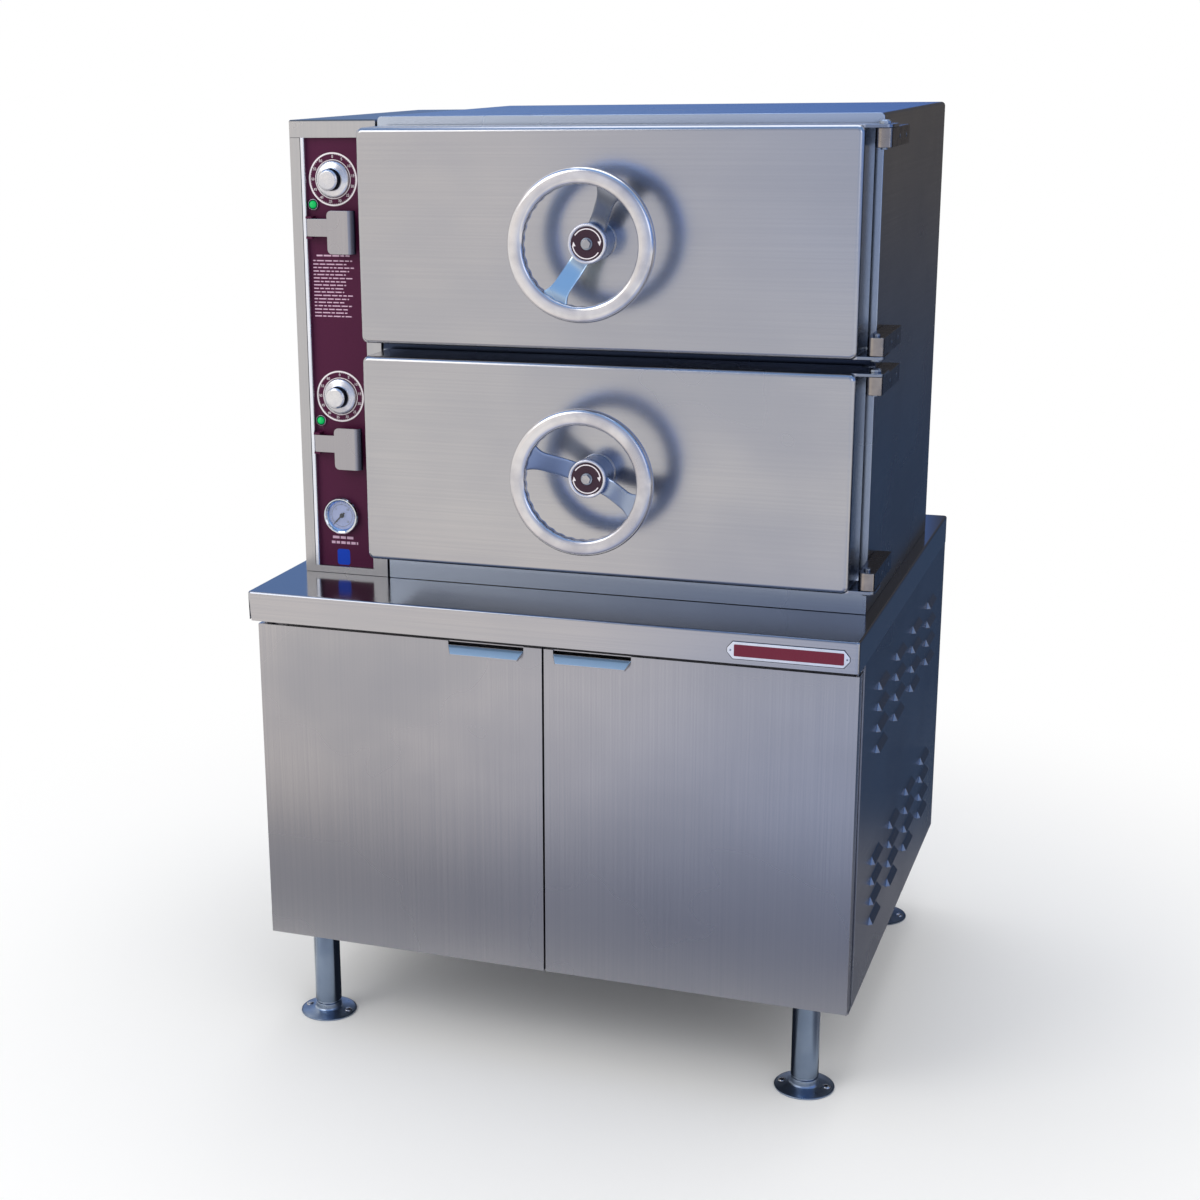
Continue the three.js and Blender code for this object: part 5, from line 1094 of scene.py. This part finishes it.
def cardPiece(name, look):
    # a glowing sheet that only reflections see, and whose rim fades to nothing
    low, high = look["low"], look["high"]
    wide, tall = [axis for axis in range(3) if low[axis] != high[axis]]
    second, last = list(low), list(high)
    second[wide], last[wide] = high[wide], low[wide]
    piece, material, place = stageSheet(name, name, [low, second, high, last])
    along = addNode(material, "ShaderNodeSeparateXYZ", None, {0: place}).outputs
    tone = look["tone"]
    for key, how in (("turn", "MIX"), ("tint", "MULTIPLY")):
        if key in look:
            axis, start, end, other = look[key]
            share = smoothShare(material, along[axis], start, end)
            tone = blendTones(material, share, tone, other, how)
    glow = addNode(material, "ShaderNodeEmission", {"Strength": 1.0})
    link(material, tone, glow, "Color")
    edges = [(axis, edge, way) for axis in (wide, tall)
             for edge, way in ((low[axis], 1), (high[axis], -1))]
    shares = [smoothShare(material, along[axis], edge, edge + way * look["rim"])
              for axis, edge, way in edges]
    shown = shares[0]
    for share in shares[1:]:
        links = {0: shown, 1: share}
        shown = addNode(material, "ShaderNodeMath", {"operation": "MULTIPLY"}, links).outputs[0]
    clear = addNode(material, "ShaderNodeBsdfTransparent").outputs[0]
    mixedSurface(material, shown, clear, glow.outputs[0])
    for kind in ("camera", "diffuse", "shadow", "transmission", "volume_scatter"):
        setattr(piece, "visible_" + kind, False)


def floorPiece():
    # a wide sheet whose shadowed middle fades into plain white further out
    half = studio["floorHalf"]
    corners = [(-half, -half, 0), (half, -half, 0), (half, half, 0), (-half, half, 0)]
    _, material, place = stageSheet("floor", "paleFloor", corners)
    length = addNode(material, "ShaderNodeVectorMath", {"operation": "LENGTH"}, {0: place})
    share = smoothShare(material, length.outputs["Value"], studio["shadowFrom"], studio["shadowTo"])
    matte = addNode(material, "ShaderNodeBsdfDiffuse")
    link(material, studio["floorTone"], matte, "Color")
    white = addNode(material, "ShaderNodeEmission", {"Strength": 1.0})
    link(material, "#FFFFFF", white, "Color")
    mixedSurface(material, share, matte.outputs[0], white.outputs[0])


def studioWorld():
    # white to the camera, in reflections and through glass, softer as a light
    world = bpy.data.worlds.new("studio")
    bpy.context.scene.world = world
    world.use_nodes = True
    sky = world.node_tree.nodes["Background"]
    link(world, "#FFFFFF", sky, "Color")
    rays = addNode(world, "ShaderNodeLightPath").outputs
    seen = rays["Is Camera Ray"]
    for kind in ("Is Glossy Ray", "Is Transmission Ray"):
        links = {0: seen, 1: rays[kind]}
        seen = addNode(world, "ShaderNodeMath", {"operation": "MAXIMUM"}, links).outputs[0]
    settings = {"To Min": studio["worldSoft"], "To Max": 1.0}
    level = addNode(world, "ShaderNodeMapRange", settings, {"Value": seen})
    link(world, level.outputs[0], sky, "Strength")


def addLamp(name, place, aim, size, power, tone):
    light = bpy.data.lights.new(name, "AREA")
    light.shape = "SQUARE"
    light.size = size
    light.energy = power
    light.color = toLinear(tone)[:3]
    holder = addObject(name, light)
    holder.location = place
    holder.rotation_euler = (Vector(aim) - Vector(place)).to_track_quat("-Z", "Y").to_euler()


floorPiece()
studioWorld()
for name, look in lamps.items():
    addLamp(name, *look)
for name, look in cards.items():
    cardPiece(name, look)
print("studio made")


# Camera: found from the photograph's perspective, angles in degrees

cameraLook = {
    "place": (0.89875, -2.98889, 1.47119), "yaw": 21.293, "pitch": -16.114, "roll": 1.045,
    "lens": 60.488, "sensor": 36.0, "shift": (0.11548, 0.03358),
}


def photoCamera():
    yaw, pitch, roll = (math.radians(cameraLook[key]) for key in ("yaw", "pitch", "roll"))
    right = Vector((math.cos(yaw), math.sin(yaw), 0))
    level = math.cos(pitch)
    ahead = Vector((-math.sin(yaw) * level, math.cos(yaw) * level, math.sin(pitch)))
    up = right.cross(ahead)
    tilt = Matrix.Rotation(roll, 3, ahead)
    right, up = tilt @ right, tilt @ up
    turn = Matrix((right, up, -ahead)).transposed()
    camera = bpy.data.cameras.new("photoCamera")
    camera.lens = cameraLook["lens"]
    camera.sensor_width = cameraLook["sensor"]
    camera.shift_x, camera.shift_y = cameraLook["shift"]
    holder = addObject("photoCamera", camera)
    holder.matrix_world = Matrix.Translation(cameraLook["place"]) @ turn.to_4x4()
    bpy.context.scene.camera = holder


photoCamera()
bpy.context.scene.view_settings.view_transform = "Standard"
print("camera set")
